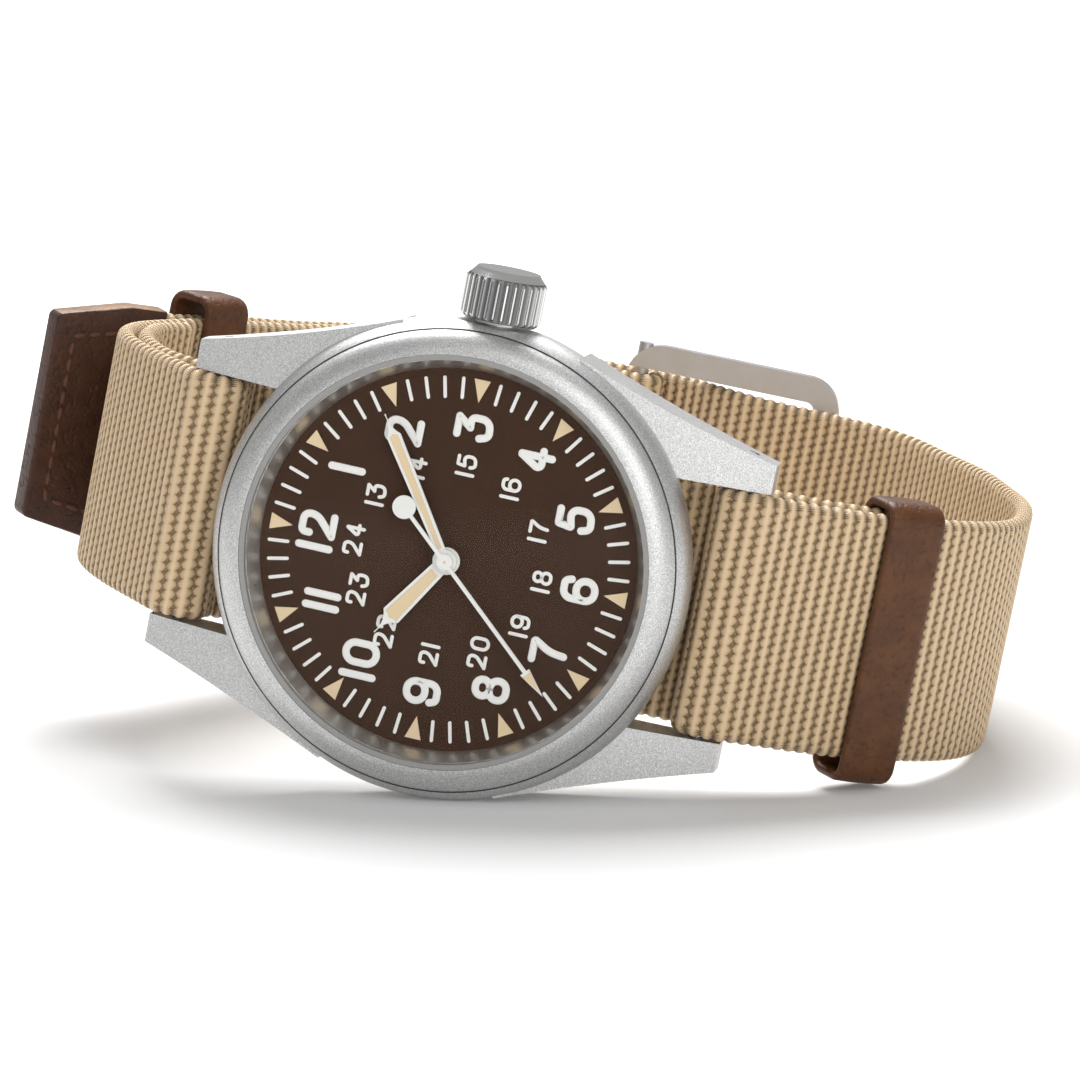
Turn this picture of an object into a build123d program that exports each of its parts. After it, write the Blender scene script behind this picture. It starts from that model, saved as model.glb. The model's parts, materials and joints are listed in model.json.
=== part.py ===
from build123d import *
from math import acos, atan, atan2, cos, degrees, hypot, radians, sin, sqrt, tan
import os

os.makedirs("parts", exist_ok=True)

# Sizes are in millimetres. A level is a height over the dial face, and a reach is a distance
# from the dial centre. The row frame stands the watch on its case flank and strap edge.

# Fits
seat_gap = 0.05
thin_gap = 0.02
run_gap = 0.03
cloth_gap = 0.3
overrun = 1.0

# Case
case_radius = 19.0
case_widest_level = -1.2
case_foot_radius = 18.3
case_foot_level = -4.3
case_bottom_radius = 16.9
case_bottom_level = -4.9
shoulder_radius = 18.05
shoulder_level = 0.9
skirt_depth = 1.0
skirt_thickness = 0.9
gasket_bore = 16.2
gasket_height = 0.4

# Lugs
lug_overhang = 2.0
lug_tip_width = 2.3
lug_root_angle = 22.0
lug_root_radius = 17.3
lug_top_level = 0.2
lug_tip_level = -3.4
lug_foot_level = -5.9
lug_corner_radius = 0.4
bar_clearance = 2.3
bar_level = -4.45
bar_reach = case_radius + bar_clearance
lug_reach = bar_reach + lug_overhang

# Bezel, crystal and inner flange
bezel_top_level = 2.1
bezel_inner_radius = 16.2
crystal_radius = 15.75
crystal_seat_level = 1.37
crystal_edge_height = 0.78
crystal_dome_level = 3.45
crystal_underside_level = 2.3
flange_inner_radius = 15.0
flange_outer_radius = 16.25
flange_top_radius = 15.7

# Case back
back_radius = 16.4
back_thickness = 1.0
back_plug_radius = 15.6
back_plug_height = 0.7
back_hollow_radius = 14.6
back_hollow_depth = 0.6
notch_count = 6
notch_width = 2.4
notch_length = 1.6
notch_depth = 0.45
notch_reach = 14.6
edge_chamfer = 0.3

# Dial
dial_radius = 15.6
dial_thickness = 0.4
dial_bore = 0.8
mark_height = 0.03
minute_mark_length = 1.75
minute_mark_width = 0.27
minute_mark_reach = 13.52
triangle_base_reach = 14.36
triangle_apex_reach = 12.56
triangle_base = 1.3

# Hands
hour_hand_level = 0.42
hand_thickness = 0.16
hand_gap = 0.2
hour_hand_length = 8.09
hour_hand_root_width = 1.16
hour_hand_shoulder_width = 1.61
hour_hand_shoulder_reach = 6.2
hour_hub_radius = 1.08
hour_hand_angle = 303.9
minute_hand_length = 12.34
minute_hand_root_width = 0.75
minute_hand_shoulder_width = 1.13
minute_hand_shoulder_reach = 10.5
minute_hub_radius = 0.89
minute_hand_angle = 56.1
seconds_hand_length = 12.88
seconds_rod_width = 0.3
seconds_arrow_length = 2.35
seconds_arrow_width = 0.86
seconds_counter_reach = 5.28
seconds_counter_radius = 0.92
seconds_hub_radius = 0.63
seconds_hand_angle = 221.8
hand_rim = 0.2
spike_width = 0.1
lume_gap = 0.01

# Movement
plate_radius = 12.8
plate_thickness = 1.58
motion_recess_depth = 0.34
barrel_pocket_depth = 1.05
movement_ring_level = -4.1
bridge_level = -3.1
bridge_thickness = 0.7
bridge_step = 0.1
bridge_foot_inset = 1.3
bridge_radius = plate_radius - bridge_step
bridge_foot_radius = bridge_radius - bridge_foot_inset
jewel_radius = 0.55
jewel_thickness = 0.25
pivot_radius = 0.12
tooth_tip_share = 0.8
tooth_root_share = 1.1
tooth_tip_width_share = 0.11
tooth_root_width_share = 0.3
wheel_thickness = 0.1
pinion_thickness = 0.2

# Crown and winding
stem_level = -2.15
stem_radius = 0.6
stem_pilot_radius = 0.35
crown_radius = 3.25
crown_tuck = 0.2
crown_start = case_radius - crown_tuck
crown_length = 4.1
crown_face_radius = 2.5
crown_chamfer = 0.45
flute_count = 30
flute_radius = 0.28
crown_recess_depth = 0.45
crown_recess_reach = case_radius - crown_recess_depth
crown_recess_width = 8.2
crown_tube_radius = 1.5
crown_tube_bore = 1.0
crown_travel = 1.0
clutch_start = 8.2
clutch_length = 1.6
clutch_radius = 0.9
winding_pinion_start = 10.2
winding_pinion_length = 1.4
winding_pinion_radius = 1.2
click_radius = 0.55
screw_radius = 0.25
screw_head_radius = 0.45
screw_head_height = 0.25
screw_slot_width = 0.12

# Strap
strap_width = 19.6
strap_thickness = 1.3
ply_gap = 0.3
loop_spread = 20.0
loop_reach = bar_reach + loop_spread
loop_drop = 63.9
fold_radius = 1.5
buckle_bar_reach = -2.6
buckle_bar_radius = 0.65
tongue_slot_width = 2.8
strap_hole_radius = 0.9
tip_length = 9.7
tip_thickness = 2.4
tip_end_width = 17.4
tip_corner_radius = 1.2
tip_insert = 3.2

# Leather bands
band_length = 5.0
band_thickness = 0.8
band_play = 0.26
band_slack = 0.7
loop_sag = 0.45
keeper_rise = 0.6

# Buckle
buckle_side_width = 2.3
buckle_strap_gap = 0.4
buckle_width = strap_width + 2 * (buckle_side_width + buckle_strap_gap)
buckle_thickness = 1.5
buckle_length = 18.1
buckle_far_width = 2.3
buckle_heel = 1.3
buckle_corner_radius = 3.2
tongue_width = 1.9
tongue_thickness = 0.9
tongue_ring_radius = 1.35
tongue_lead = 1.4

# Spring bars
spring_bar_radius = 0.75
spring_bar_bore = 0.6
spring_tip_radius = 0.42
spring_tip_shoulder_radius = 0.55
spring_tip_shoulder_length = 0.6
spring_tip_reach = 11.4
spring_tip_start = 8.7
spring_bar_lip = 0.4

# Rest pose: the case flank, the strap edge at the wide turn and a buckle corner touch the ground.
half_strap = strap_width / 2
ply_offset = strap_thickness / 2
strap_rest_drop = 0.516 * loop_drop
buckle_corner_reach = buckle_length - buckle_bar_reach
buckle_corner_drop = 1.031 * loop_drop
strap_rest_reach = loop_reach + ply_offset
rest_a = half_strap * buckle_corner_drop - buckle_width / 2 * strap_rest_drop
rest_b = strap_rest_reach * buckle_corner_drop - buckle_corner_reach * strap_rest_drop
rest_c = case_radius * (buckle_corner_drop - strap_rest_drop)
roll = atan2(rest_b, rest_a) - acos(rest_c / hypot(rest_a, rest_b))
strap_lift = half_strap * cos(roll) + strap_rest_reach * sin(roll)
lean = atan((case_radius - strap_lift) / strap_rest_drop)
dial_height = case_radius * cos(lean) - case_widest_level * sin(lean)
watch = Plane(
    origin=(0, -loop_drop / 2, dial_height),
    x_dir=(sin(roll), cos(roll) * sin(lean), cos(roll) * cos(lean)),
    z_dir=(0, -cos(lean), sin(lean)),
)
dial_axis = Axis(watch.origin, watch.z_dir)
radial = Plane(watch.origin, x_dir=-watch.x_dir, z_dir=watch.y_dir)


def at(x, y, z):
    """Point at distances toward 3 o'clock, toward 12 o'clock and out of the dial."""
    return watch.origin + watch.x_dir * x + watch.y_dir * y + watch.z_dir * z


def spot(x, y, z):
    """Plane parallel to the dial, with its origin at a point."""
    return Plane(at(x, y, z), x_dir=watch.x_dir, z_dir=watch.z_dir)


def across(x, y=0, z=0):
    """Plane that faces 3 o'clock, its own x toward 12 o'clock and its own y out of the dial."""
    return Plane(at(x, y, z), x_dir=watch.y_dir, z_dir=watch.x_dir)


def polar(radius, angle):
    """Point of a dial plane at a radius and an angle from 3 o'clock."""
    return (radius * cos(radians(angle)), radius * sin(radians(angle)))


def turned(*points, mode=Mode.ADD):
    """Ring about the dial axis from radius and level pairs, in the part being made."""
    with BuildSketch(radial) as profile:
        Polygon(*points, align=None)
    revolve(profile.sketch, axis=dial_axis, mode=mode)


def disc(place, z, radius, height, bore=0, mode=Mode.ADD):
    """Round plate or tube that goes down from a level, in the part being made."""
    with BuildSketch(spot(place[0], place[1], z)) as profile:
        Circle(radius)
        if bore:
            Circle(bore, mode=Mode.SUBTRACT)
    extrude(profile.sketch, amount=-height, mode=mode)


def toothed(place, z, radius, teeth, height, first_angle=0, bore=0):
    """Wheel with straight-sided teeth that goes down from a level, one tooth at the first angle."""
    tooth_size = 2 * radius / teeth
    tip = radius + tooth_tip_share * tooth_size
    root = radius - tooth_root_share * tooth_size
    pitch = 360 / teeth
    corners = []
    for tooth in range(teeth):
        middle = first_angle + tooth * pitch
        corners.append(polar(root, middle - tooth_root_width_share * pitch))
        corners.append(polar(tip, middle - tooth_tip_width_share * pitch))
        corners.append(polar(tip, middle + tooth_tip_width_share * pitch))
        corners.append(polar(root, middle + tooth_root_width_share * pitch))
    with BuildSketch(spot(place[0], place[1], z)) as profile:
        Polygon(*corners, align=None)
        if bore:
            Circle(bore, mode=Mode.SUBTRACT)
    extrude(profile.sketch, amount=-height)


def coiled(place, z, inner_radius, coil_pitch, half_turns, width, height):
    """Spiral strip of half circles, each one wider than the last, going down from a level."""
    with BuildSketch(spot(place[0], place[1], z)) as profile:
        with BuildLine() as strip:
            for turn in range(half_turns):
                odd = turn % 2
                CenterArc((odd * coil_pitch / 2, 0), inner_radius + turn * coil_pitch / 2, odd * 180, 180)
        trace(strip.edges(), line_width=width)
    extrude(profile.sketch, amount=-height)


def heading(here, there):
    """Angle from one dial-plane place to another."""
    return degrees(atan2(there[1] - here[1], there[0] - here[0]))


def beyond(place, distance, angle):
    """Dial-plane place at a distance and an angle from another."""
    step = polar(distance, angle)
    return (place[0] + step[0], place[1] + step[1])


def keep(piece, name):
    """Name a finished piece and write it."""
    piece.part.label = name
    export_step(piece.part, f"parts/{name}.step")


# Case stack
skirt_outer = flange_outer_radius + seat_gap + skirt_thickness
skirt_level = shoulder_level - skirt_depth
flange_bore = flange_outer_radius + seat_gap
movement_bore = dial_radius + seat_gap
dial_ledge_level = -dial_thickness - seat_gap
back_seat_level = case_bottom_level - thin_gap
gasket_roof_level = case_bottom_level + gasket_height

with BuildPart() as mid_case:
    with BuildSketch(spot(0, 0, lug_top_level)):
        lug_inner = half_strap + seat_gap * 4
        with BuildLine():
            lug_root = polar(case_radius, lug_root_angle)
            lug_root_inner = polar(lug_root_radius, lug_root_angle)
            lug_tip = (lug_inner + lug_tip_width, lug_reach)
            lug_crotch = (lug_inner, sqrt(lug_root_radius**2 - lug_inner**2))
            crotch_angle = degrees(atan2(lug_crotch[1], lug_crotch[0]))
            TangentArc(lug_root, lug_tip, tangent=polar(1, lug_root_angle + 90))
            Polyline(lug_tip, (lug_inner, lug_reach), lug_crotch)
            ThreePointArc(
                lug_crotch,
                polar(lug_root_radius, (lug_root_angle + crotch_angle) / 2),
                lug_root_inner,
            )
            Line(lug_root_inner, lug_root)
        make_face()
        mirror(about=Plane.YZ)
        mirror(about=Plane.XZ)
    extrude(amount=lug_foot_level - lug_top_level - overrun)
    with BuildSketch(across(0)):
        with BuildLine():
            TangentArc((0, lug_top_level), (lug_reach, lug_tip_level), tangent=(1, 0))
            FilletPolyline(
                (lug_reach, lug_tip_level),
                (lug_reach, lug_foot_level),
                (bar_reach - 3 * spring_bar_radius, lug_foot_level),
                (lug_root[1], case_bottom_level),
                (0, case_bottom_level),
                radius=[lug_corner_radius, 2 * lug_corner_radius, 2 * lug_corner_radius],
            )
            Line((0, case_bottom_level), (0, lug_top_level))
        make_face()
        mirror(about=Plane.YZ)
    extrude(amount=case_radius, both=True, mode=Mode.INTERSECT)
    with BuildSketch(radial):
        with BuildLine():
            TangentArc((case_radius, case_widest_level), (shoulder_radius, shoulder_level), tangent=(0, 1))
            Polyline(
                (shoulder_radius, shoulder_level),
                (skirt_outer + seat_gap, shoulder_level),
                (skirt_outer + seat_gap, skirt_level - seat_gap),
                (flange_bore, skirt_level - seat_gap),
                (flange_bore, dial_ledge_level),
                (movement_bore, dial_ledge_level),
                (movement_bore, gasket_roof_level),
                (gasket_bore, gasket_roof_level),
                (gasket_bore, case_bottom_level),
                (case_bottom_radius, case_bottom_level),
                (case_foot_radius, case_foot_level),
            )
            case_widest = (case_radius, case_widest_level)
            TangentArc(case_widest, (case_foot_radius, case_foot_level), tangent=(0, -1))
        make_face()
    revolve(axis=dial_axis)
    with BuildSketch(across(crown_recess_reach)):
        Rectangle(crown_recess_width, 2 * case_radius)
    extrude(amount=overrun, mode=Mode.SUBTRACT)
    with BuildSketch(across(movement_bore - overrun, 0, stem_level)):
        Circle(crown_tube_radius)
    extrude(amount=case_radius, mode=Mode.SUBTRACT)
    for end in (-1, 1):
        with BuildSketch(across(0, end * bar_reach, bar_level)):
            Circle(spring_tip_radius + run_gap)
        extrude(amount=case_radius, both=True, mode=Mode.SUBTRACT)
keep(mid_case, "mid_case")

with BuildPart() as bezel:
    with BuildSketch(radial):
        with BuildLine():
            TangentArc(
                (bezel_inner_radius, bezel_top_level),
                (shoulder_radius, shoulder_level + seat_gap),
                tangent=(1, -seat_gap),
            )
            Polyline(
                (shoulder_radius, shoulder_level + seat_gap),
                (shoulder_radius - seat_gap, shoulder_level + thin_gap),
                (skirt_outer, shoulder_level + thin_gap),
                (skirt_outer, skirt_level),
                (flange_bore, skirt_level),
                (flange_bore, crystal_seat_level),
                (bezel_inner_radius, crystal_seat_level),
                (bezel_inner_radius, bezel_top_level),
            )
        make_face()
    revolve(axis=dial_axis)
keep(bezel, "bezel")

crystal_edge_level = crystal_seat_level + crystal_edge_height
with BuildPart() as crystal:
    with BuildSketch(radial):
        with BuildLine():
            TangentArc((0, crystal_dome_level), (crystal_radius, crystal_edge_level), tangent=(1, 0))
            Polyline(
                (crystal_radius, crystal_edge_level),
                (crystal_radius, crystal_seat_level),
                (flange_inner_radius, crystal_seat_level),
            )
            TangentArc(
                (0, crystal_underside_level), (flange_inner_radius, crystal_seat_level), tangent=(1, 0)
            )
            Line((0, crystal_underside_level), (0, crystal_dome_level))
        make_face()
    revolve(axis=dial_axis)
keep(crystal, "crystal")

with BuildPart() as crystal_gasket:
    disc(
        (0, 0), bezel_top_level - seat_gap, bezel_inner_radius - thin_gap,
        bezel_top_level - seat_gap - crystal_seat_level, crystal_radius + thin_gap,
    )
keep(crystal_gasket, "crystal_gasket")

with BuildPart() as inner_flange:
    turned(
        (flange_inner_radius, thin_gap),
        (flange_outer_radius, thin_gap),
        (flange_outer_radius, crystal_seat_level),
        (flange_top_radius, crystal_seat_level),
    )
keep(inner_flange, "inner_flange")

with BuildPart() as case_back:
    turned(
        (0, back_seat_level - back_thickness),
        (back_radius - edge_chamfer, back_seat_level - back_thickness),
        (back_radius, back_seat_level - back_thickness + edge_chamfer),
        (back_radius, back_seat_level),
        (back_plug_radius, back_seat_level),
        (back_plug_radius, back_seat_level + back_plug_height),
        (back_hollow_radius, back_seat_level + back_plug_height),
        (back_hollow_radius, back_seat_level + back_plug_height - back_hollow_depth),
        (0, back_seat_level + back_plug_height - back_hollow_depth),
    )
    with BuildSketch(spot(0, 0, back_seat_level - back_thickness)):
        with PolarLocations(notch_reach, notch_count):
            SlotOverall(notch_width, notch_length, rotation=90)
    extrude(amount=notch_depth, mode=Mode.SUBTRACT)
keep(case_back, "case_back")

with BuildPart() as back_gasket:
    disc(
        (0, 0), gasket_roof_level - thin_gap, gasket_bore - seat_gap,
        gasket_height - seat_gap, back_plug_radius + seat_gap,
    )
keep(back_gasket, "back_gasket")

# Dial and its marks
with BuildPart() as dial:
    disc((0, 0), 0, dial_radius, dial_thickness, dial_bore)
keep(dial, "dial")

with BuildPart() as minute_marks:
    with BuildSketch(spot(0, 0, 0)):
        for minute in range(60):
            if minute % 5:
                with PolarLocations(minute_mark_reach, 1, start_angle=90 - minute * 6):
                    SlotOverall(minute_mark_length, minute_mark_width)
    extrude(amount=mark_height)
keep(minute_marks, "minute_marks")

with BuildPart() as lume_triangles:
    with BuildSketch(spot(0, 0, 0)):
        for hour in range(12):
            with Locations(Location((0, 0), 90 - hour * 30)):
                Polygon(
                    (triangle_apex_reach, 0),
                    (triangle_base_reach, -triangle_base / 2),
                    (triangle_base_reach, triangle_base / 2),
                    align=None,
                )
    extrude(amount=2 * mark_height)
keep(lume_triangles, "lume_triangles")

# Levels of the hands and the tubes that carry them
centre_tube_radius = dial_bore / 2 - run_gap
centre_arbor_radius = centre_tube_radius - hand_rim / 2
minute_hand_level = hour_hand_level + hand_thickness + hand_gap
seconds_hand_level = minute_hand_level + hand_thickness + hand_gap
cannon_outer = centre_tube_radius + seat_gap
hour_tube_outer = dial_bore - seat_gap
hour_tube_bore = cannon_outer + run_gap


def hand_plane(angle, level):
    """Plane at a hand's underside, its own x along the hand."""
    sight = radians(90 - angle)
    along = watch.x_dir * cos(sight) + watch.y_dir * sin(sight)
    return Plane(at(0, 0, level), x_dir=along, z_dir=watch.z_dir)


def hand_blade(hub_radius, root_width, shoulder_reach, shoulder_width, length, margin):
    """Outline of a spear hand, drawn in by a margin for the lume that fills its slot."""
    root = root_width / 2 - margin
    shoulder = shoulder_width / 2 - margin
    start = hub_radius + margin if margin else 0
    end = shoulder_reach + margin if margin else length
    point = spike_width / 2 if not margin else 0
    with BuildLine() as edge:
        Line((start, root), (shoulder_reach, shoulder))
        if margin:
            Line((shoulder_reach, shoulder), (end, 0))
        else:
            waist = (shoulder_reach + (end - shoulder_reach) / 3, shoulder / 3)
            Spline((shoulder_reach, shoulder), waist, (end, point))
            Line((end, point), (end, 0))
        Line((end, 0), (start, 0))
        Line((start, 0), (start, root))
    make_face(edge.edges())
    mirror(about=Plane.XZ)


hour_blade = (
    hour_hub_radius, hour_hand_root_width, hour_hand_shoulder_reach, hour_hand_shoulder_width,
    hour_hand_length,
)
minute_blade = (
    minute_hub_radius, minute_hand_root_width, minute_hand_shoulder_reach, minute_hand_shoulder_width,
    minute_hand_length,
)

with BuildPart() as hour_hand:
    with BuildSketch(hand_plane(hour_hand_angle, hour_hand_level)) as blade:
        hand_blade(*hour_blade, 0)
        Circle(hour_hub_radius)
        Circle(hour_tube_outer, mode=Mode.SUBTRACT)
    with BuildSketch(hand_plane(hour_hand_angle, hour_hand_level)) as slot:
        hand_blade(*hour_blade, hand_rim)
    extrude(blade.sketch, amount=hand_thickness)
    extrude(slot.sketch, amount=hand_thickness, mode=Mode.SUBTRACT)
keep(hour_hand, "hour_hand")

with BuildPart() as hour_lume:
    with BuildSketch(hand_plane(hour_hand_angle, hour_hand_level)):
        hand_blade(*hour_blade, hand_rim + lume_gap)
    extrude(amount=hand_thickness)
keep(hour_lume, "hour_lume")

with BuildPart() as minute_hand:
    with BuildSketch(hand_plane(minute_hand_angle, minute_hand_level)) as blade:
        hand_blade(*minute_blade, 0)
        Circle(minute_hub_radius)
        Circle(cannon_outer, mode=Mode.SUBTRACT)
    with BuildSketch(hand_plane(minute_hand_angle, minute_hand_level)) as slot:
        hand_blade(*minute_blade, hand_rim)
    extrude(blade.sketch, amount=hand_thickness)
    extrude(slot.sketch, amount=hand_thickness, mode=Mode.SUBTRACT)
keep(minute_hand, "minute_hand")

with BuildPart() as minute_lume:
    with BuildSketch(hand_plane(minute_hand_angle, minute_hand_level)):
        hand_blade(*minute_blade, hand_rim + lume_gap)
    extrude(amount=hand_thickness)
keep(minute_lume, "minute_lume")

with BuildPart() as seconds_hand:
    with BuildSketch(hand_plane(seconds_hand_angle, seconds_hand_level)):
        with BuildLine():
            Polyline(
                (-seconds_counter_reach, -seconds_rod_width / 2),
                (seconds_hand_length - seconds_arrow_length, -seconds_rod_width / 2),
                (seconds_hand_length - seconds_arrow_length, -seconds_arrow_width / 2),
                (seconds_hand_length, 0),
                (seconds_hand_length - seconds_arrow_length, seconds_arrow_width / 2),
                (seconds_hand_length - seconds_arrow_length, seconds_rod_width / 2),
                (-seconds_counter_reach, seconds_rod_width / 2),
                close=True,
            )
        make_face()
        with Locations((-seconds_counter_reach, 0)):
            Circle(seconds_counter_radius)
        Circle(seconds_hub_radius)
        Circle(pivot_radius, mode=Mode.SUBTRACT)
    extrude(amount=hand_thickness)
keep(seconds_hand, "seconds_hand")

# Places of the wheels in the dial plane
centre = (0, 0)
barrel_teeth = 78
barrel_radius = 5.07
centre_pinion_teeth = 12
centre_pinion_radius = barrel_radius * centre_pinion_teeth / barrel_teeth
barrel_place = polar(barrel_radius + centre_pinion_radius, 55)
centre_teeth = 80
centre_wheel_radius = 4.0
third_pinion_teeth = 10
third_pinion_radius = centre_wheel_radius * third_pinion_teeth / centre_teeth
third_reach = centre_wheel_radius + third_pinion_radius
third_place = polar(third_reach, 200)
third_teeth = 75
fourth_pinion_teeth = 10
fourth_pinion_radius = third_reach * fourth_pinion_teeth / (third_teeth + fourth_pinion_teeth)
third_wheel_radius = third_reach - fourth_pinion_radius
fourth_teeth = 84
fourth_wheel_radius = 4.2
escape_pinion_teeth = 7
escape_pinion_radius = fourth_wheel_radius * escape_pinion_teeth / fourth_teeth
escape_place = polar(fourth_wheel_radius + escape_pinion_radius, 275)
escape_teeth = 15
escape_radius = 2.0
fork_angle = -27
fork_place = beyond(escape_place, 1.22 * escape_radius, fork_angle)
balance_place = beyond(fork_place, 1.4 * escape_radius, fork_angle)
balance_radius = 3.5
motion_teeth = 36
cannon_teeth = 12
motion_pinion_teeth = 10
hour_teeth = 40
motion_reach = 2.6
motion_place = polar(motion_reach, -100)
cannon_radius = motion_reach * cannon_teeth / (cannon_teeth + motion_teeth)
motion_radius = motion_reach - cannon_radius
motion_pinion_radius = motion_reach * motion_pinion_teeth / (motion_pinion_teeth + hour_teeth)
hour_wheel_radius = motion_reach - motion_pinion_radius
ratchet_teeth = 48
crown_wheel_teeth = 26
crown_wheel_place = (0.7 * plate_radius, 0)
winding_reach = hypot(crown_wheel_place[0] - barrel_place[0], crown_wheel_place[1] - barrel_place[1])
ratchet_radius = winding_reach * ratchet_teeth / (ratchet_teeth + crown_wheel_teeth)
crown_wheel_radius = winding_reach - ratchet_radius

# Levels of the movement, from the dial down
plate_top = -dial_thickness - thin_gap
plate_bottom = plate_top - plate_thickness
barrel_tooth_level = plate_bottom - thin_gap
centre_pinion_level = barrel_tooth_level
barrel_bottom = plate_bottom - pinion_thickness
centre_wheel_level = barrel_bottom - wheel_thickness
fourth_wheel_level = centre_wheel_level - 2 * wheel_thickness
escape_wheel_level = fourth_wheel_level - 1.8 * wheel_thickness
third_wheel_level = escape_wheel_level - 1.8 * wheel_thickness
balance_level = bridge_level + wheel_thickness
hairspring_level = balance_level - 1.5 * wheel_thickness
cock_level = hairspring_level - 1.5 * wheel_thickness
bridge_bottom = bridge_level - bridge_thickness
ratchet_height = 3.5 * wheel_thickness
ratchet_level = bridge_bottom + ratchet_height
motion_floor = plate_top - motion_recess_depth
stem_channel_width = 3.2
stem_channel_start = 8.1
stem_pilot_start = 6.9
stem_channel_level = -0.8
balance_pocket_radius = balance_radius + 2 * wheel_thickness
cock_place = polar(0.885 * plate_radius, 266)
fork_foot_place = polar(0.67 * plate_radius, 264)
bridge_split_angle = 47.6
bridge_split_reach = 0.95
screw_ring = (bridge_radius + bridge_foot_radius) / 2
screw_tip_level = plate_bottom + plate_thickness / 2
barrel_screw_places = (polar(screw_ring, 95), polar(screw_ring, 22))
train_screw_places = (polar(screw_ring, 160), polar(screw_ring, 225))
ratchet_tip_radius = ratchet_radius * (1 + 2 * tooth_tip_share / ratchet_teeth)
click_distance = ratchet_tip_radius + 2 * click_radius
click_place = beyond(barrel_place, click_distance, 150)
click_pocket_radius = 2 * click_radius
click_reach = click_distance - ratchet_tip_radius - seat_gap


def screw_holes(places):
    """Clearance holes for bridge screws and their heads, in the part being made."""
    for place in places:
        disc(
            place, screw_tip_level, screw_radius + thin_gap, screw_tip_level - bridge_bottom,
            mode=Mode.SUBTRACT,
        )
        disc(
            place, bridge_bottom + screw_head_height + thin_gap, screw_head_radius + thin_gap,
            screw_head_height + thin_gap, mode=Mode.SUBTRACT,
        )



with BuildPart() as main_plate:
    disc(centre, plate_top, plate_radius, plate_thickness)
    disc(
        centre, plate_top, hour_wheel_radius + 2 * seat_gap + wheel_thickness, motion_recess_depth,
        mode=Mode.SUBTRACT,
    )
    disc(motion_place, plate_top, motion_radius + 3 * seat_gap, motion_recess_depth, mode=Mode.SUBTRACT)
    disc(motion_place, motion_floor + motion_recess_depth, pivot_radius, motion_recess_depth)
    disc(centre, plate_top, centre_tube_radius + run_gap, plate_thickness, mode=Mode.SUBTRACT)
    disc(
        barrel_place, plate_bottom + barrel_pocket_depth, barrel_radius, barrel_pocket_depth,
        mode=Mode.SUBTRACT,
    )
    disc(barrel_place, plate_top, 4 * pivot_radius + run_gap, plate_thickness, mode=Mode.SUBTRACT)
    with BuildSketch(spot(0, 0, stem_channel_level)):
        with Locations(((plate_radius + stem_channel_start) / 2 + overrun / 2, 0)):
            Rectangle(plate_radius - stem_channel_start + overrun, stem_channel_width)
        with Locations(((stem_channel_start + stem_pilot_start) / 2, 0)):
            Rectangle(stem_channel_start - stem_pilot_start + seat_gap, 2 * (stem_pilot_radius + run_gap))
    extrude(amount=plate_bottom - stem_channel_level, mode=Mode.SUBTRACT)
    for place in (third_place, escape_place, fork_place, balance_place):
        disc(place, plate_bottom + jewel_thickness, jewel_radius, jewel_thickness, mode=Mode.SUBTRACT)
    screw_holes((*barrel_screw_places, *train_screw_places, cock_place))
keep(main_plate, "main_plate")

with BuildPart() as movement_ring:
    disc(
        centre, plate_top, movement_bore - 3 * seat_gap,
        plate_top - movement_ring_level, plate_radius + seat_gap,
    )
    with BuildSketch(across(0, 0, stem_level)):
        Circle(stem_radius + seat_gap)
    extrude(amount=case_radius, mode=Mode.SUBTRACT)
keep(movement_ring, "movement_ring")

# Bridges over the train, cut from one disc
with BuildPart() as barrel_bridge:
    with BuildSketch(spot(0, 0, bridge_level)) as barrel_bridge_outline:
        Circle(bridge_radius)
        barrel_cut = polar(bridge_split_reach - bridge_radius, bridge_split_angle)
        with Locations(Location(barrel_cut, bridge_split_angle)):
            Rectangle(2 * bridge_radius, 3 * bridge_radius, mode=Mode.SUBTRACT)
    extrude(amount=-bridge_thickness)
    with BuildSketch(spot(0, 0, plate_bottom)):
        add(barrel_bridge_outline.sketch_local)
        Circle(bridge_foot_radius, mode=Mode.SUBTRACT)
        with Locations((bridge_radius, 0)):
            Rectangle(bridge_radius, stem_channel_width, mode=Mode.SUBTRACT)
    extrude(amount=bridge_level - plate_bottom)
    disc(barrel_place, bridge_level, 4 * pivot_radius + run_gap, bridge_thickness, mode=Mode.SUBTRACT)
    disc(
        barrel_place, ratchet_level + run_gap, ratchet_radius + 3 * wheel_thickness,
        ratchet_height + run_gap, mode=Mode.SUBTRACT,
    )
    disc(
        crown_wheel_place, ratchet_level + run_gap, crown_wheel_radius + 3 * wheel_thickness,
        ratchet_height + run_gap, mode=Mode.SUBTRACT,
    )
    disc(crown_wheel_place, ratchet_level + run_gap, 5 * pivot_radius, ratchet_height + run_gap)
    with BuildSketch(spot(0, 0, bridge_level)):
        with Locations((winding_pinion_start - 2 * seat_gap + stem_channel_width / 2, 0)):
            Rectangle(stem_channel_width, stem_channel_width)
    extrude(amount=ratchet_level - bridge_level, mode=Mode.SUBTRACT)
    disc(
        click_place, ratchet_level + run_gap, click_pocket_radius, ratchet_height + run_gap,
        mode=Mode.SUBTRACT,
    )
    disc(click_place, ratchet_level + run_gap, 2 * pivot_radius, ratchet_height + run_gap)
    screw_holes(barrel_screw_places)
keep(barrel_bridge, "barrel_bridge")

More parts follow.
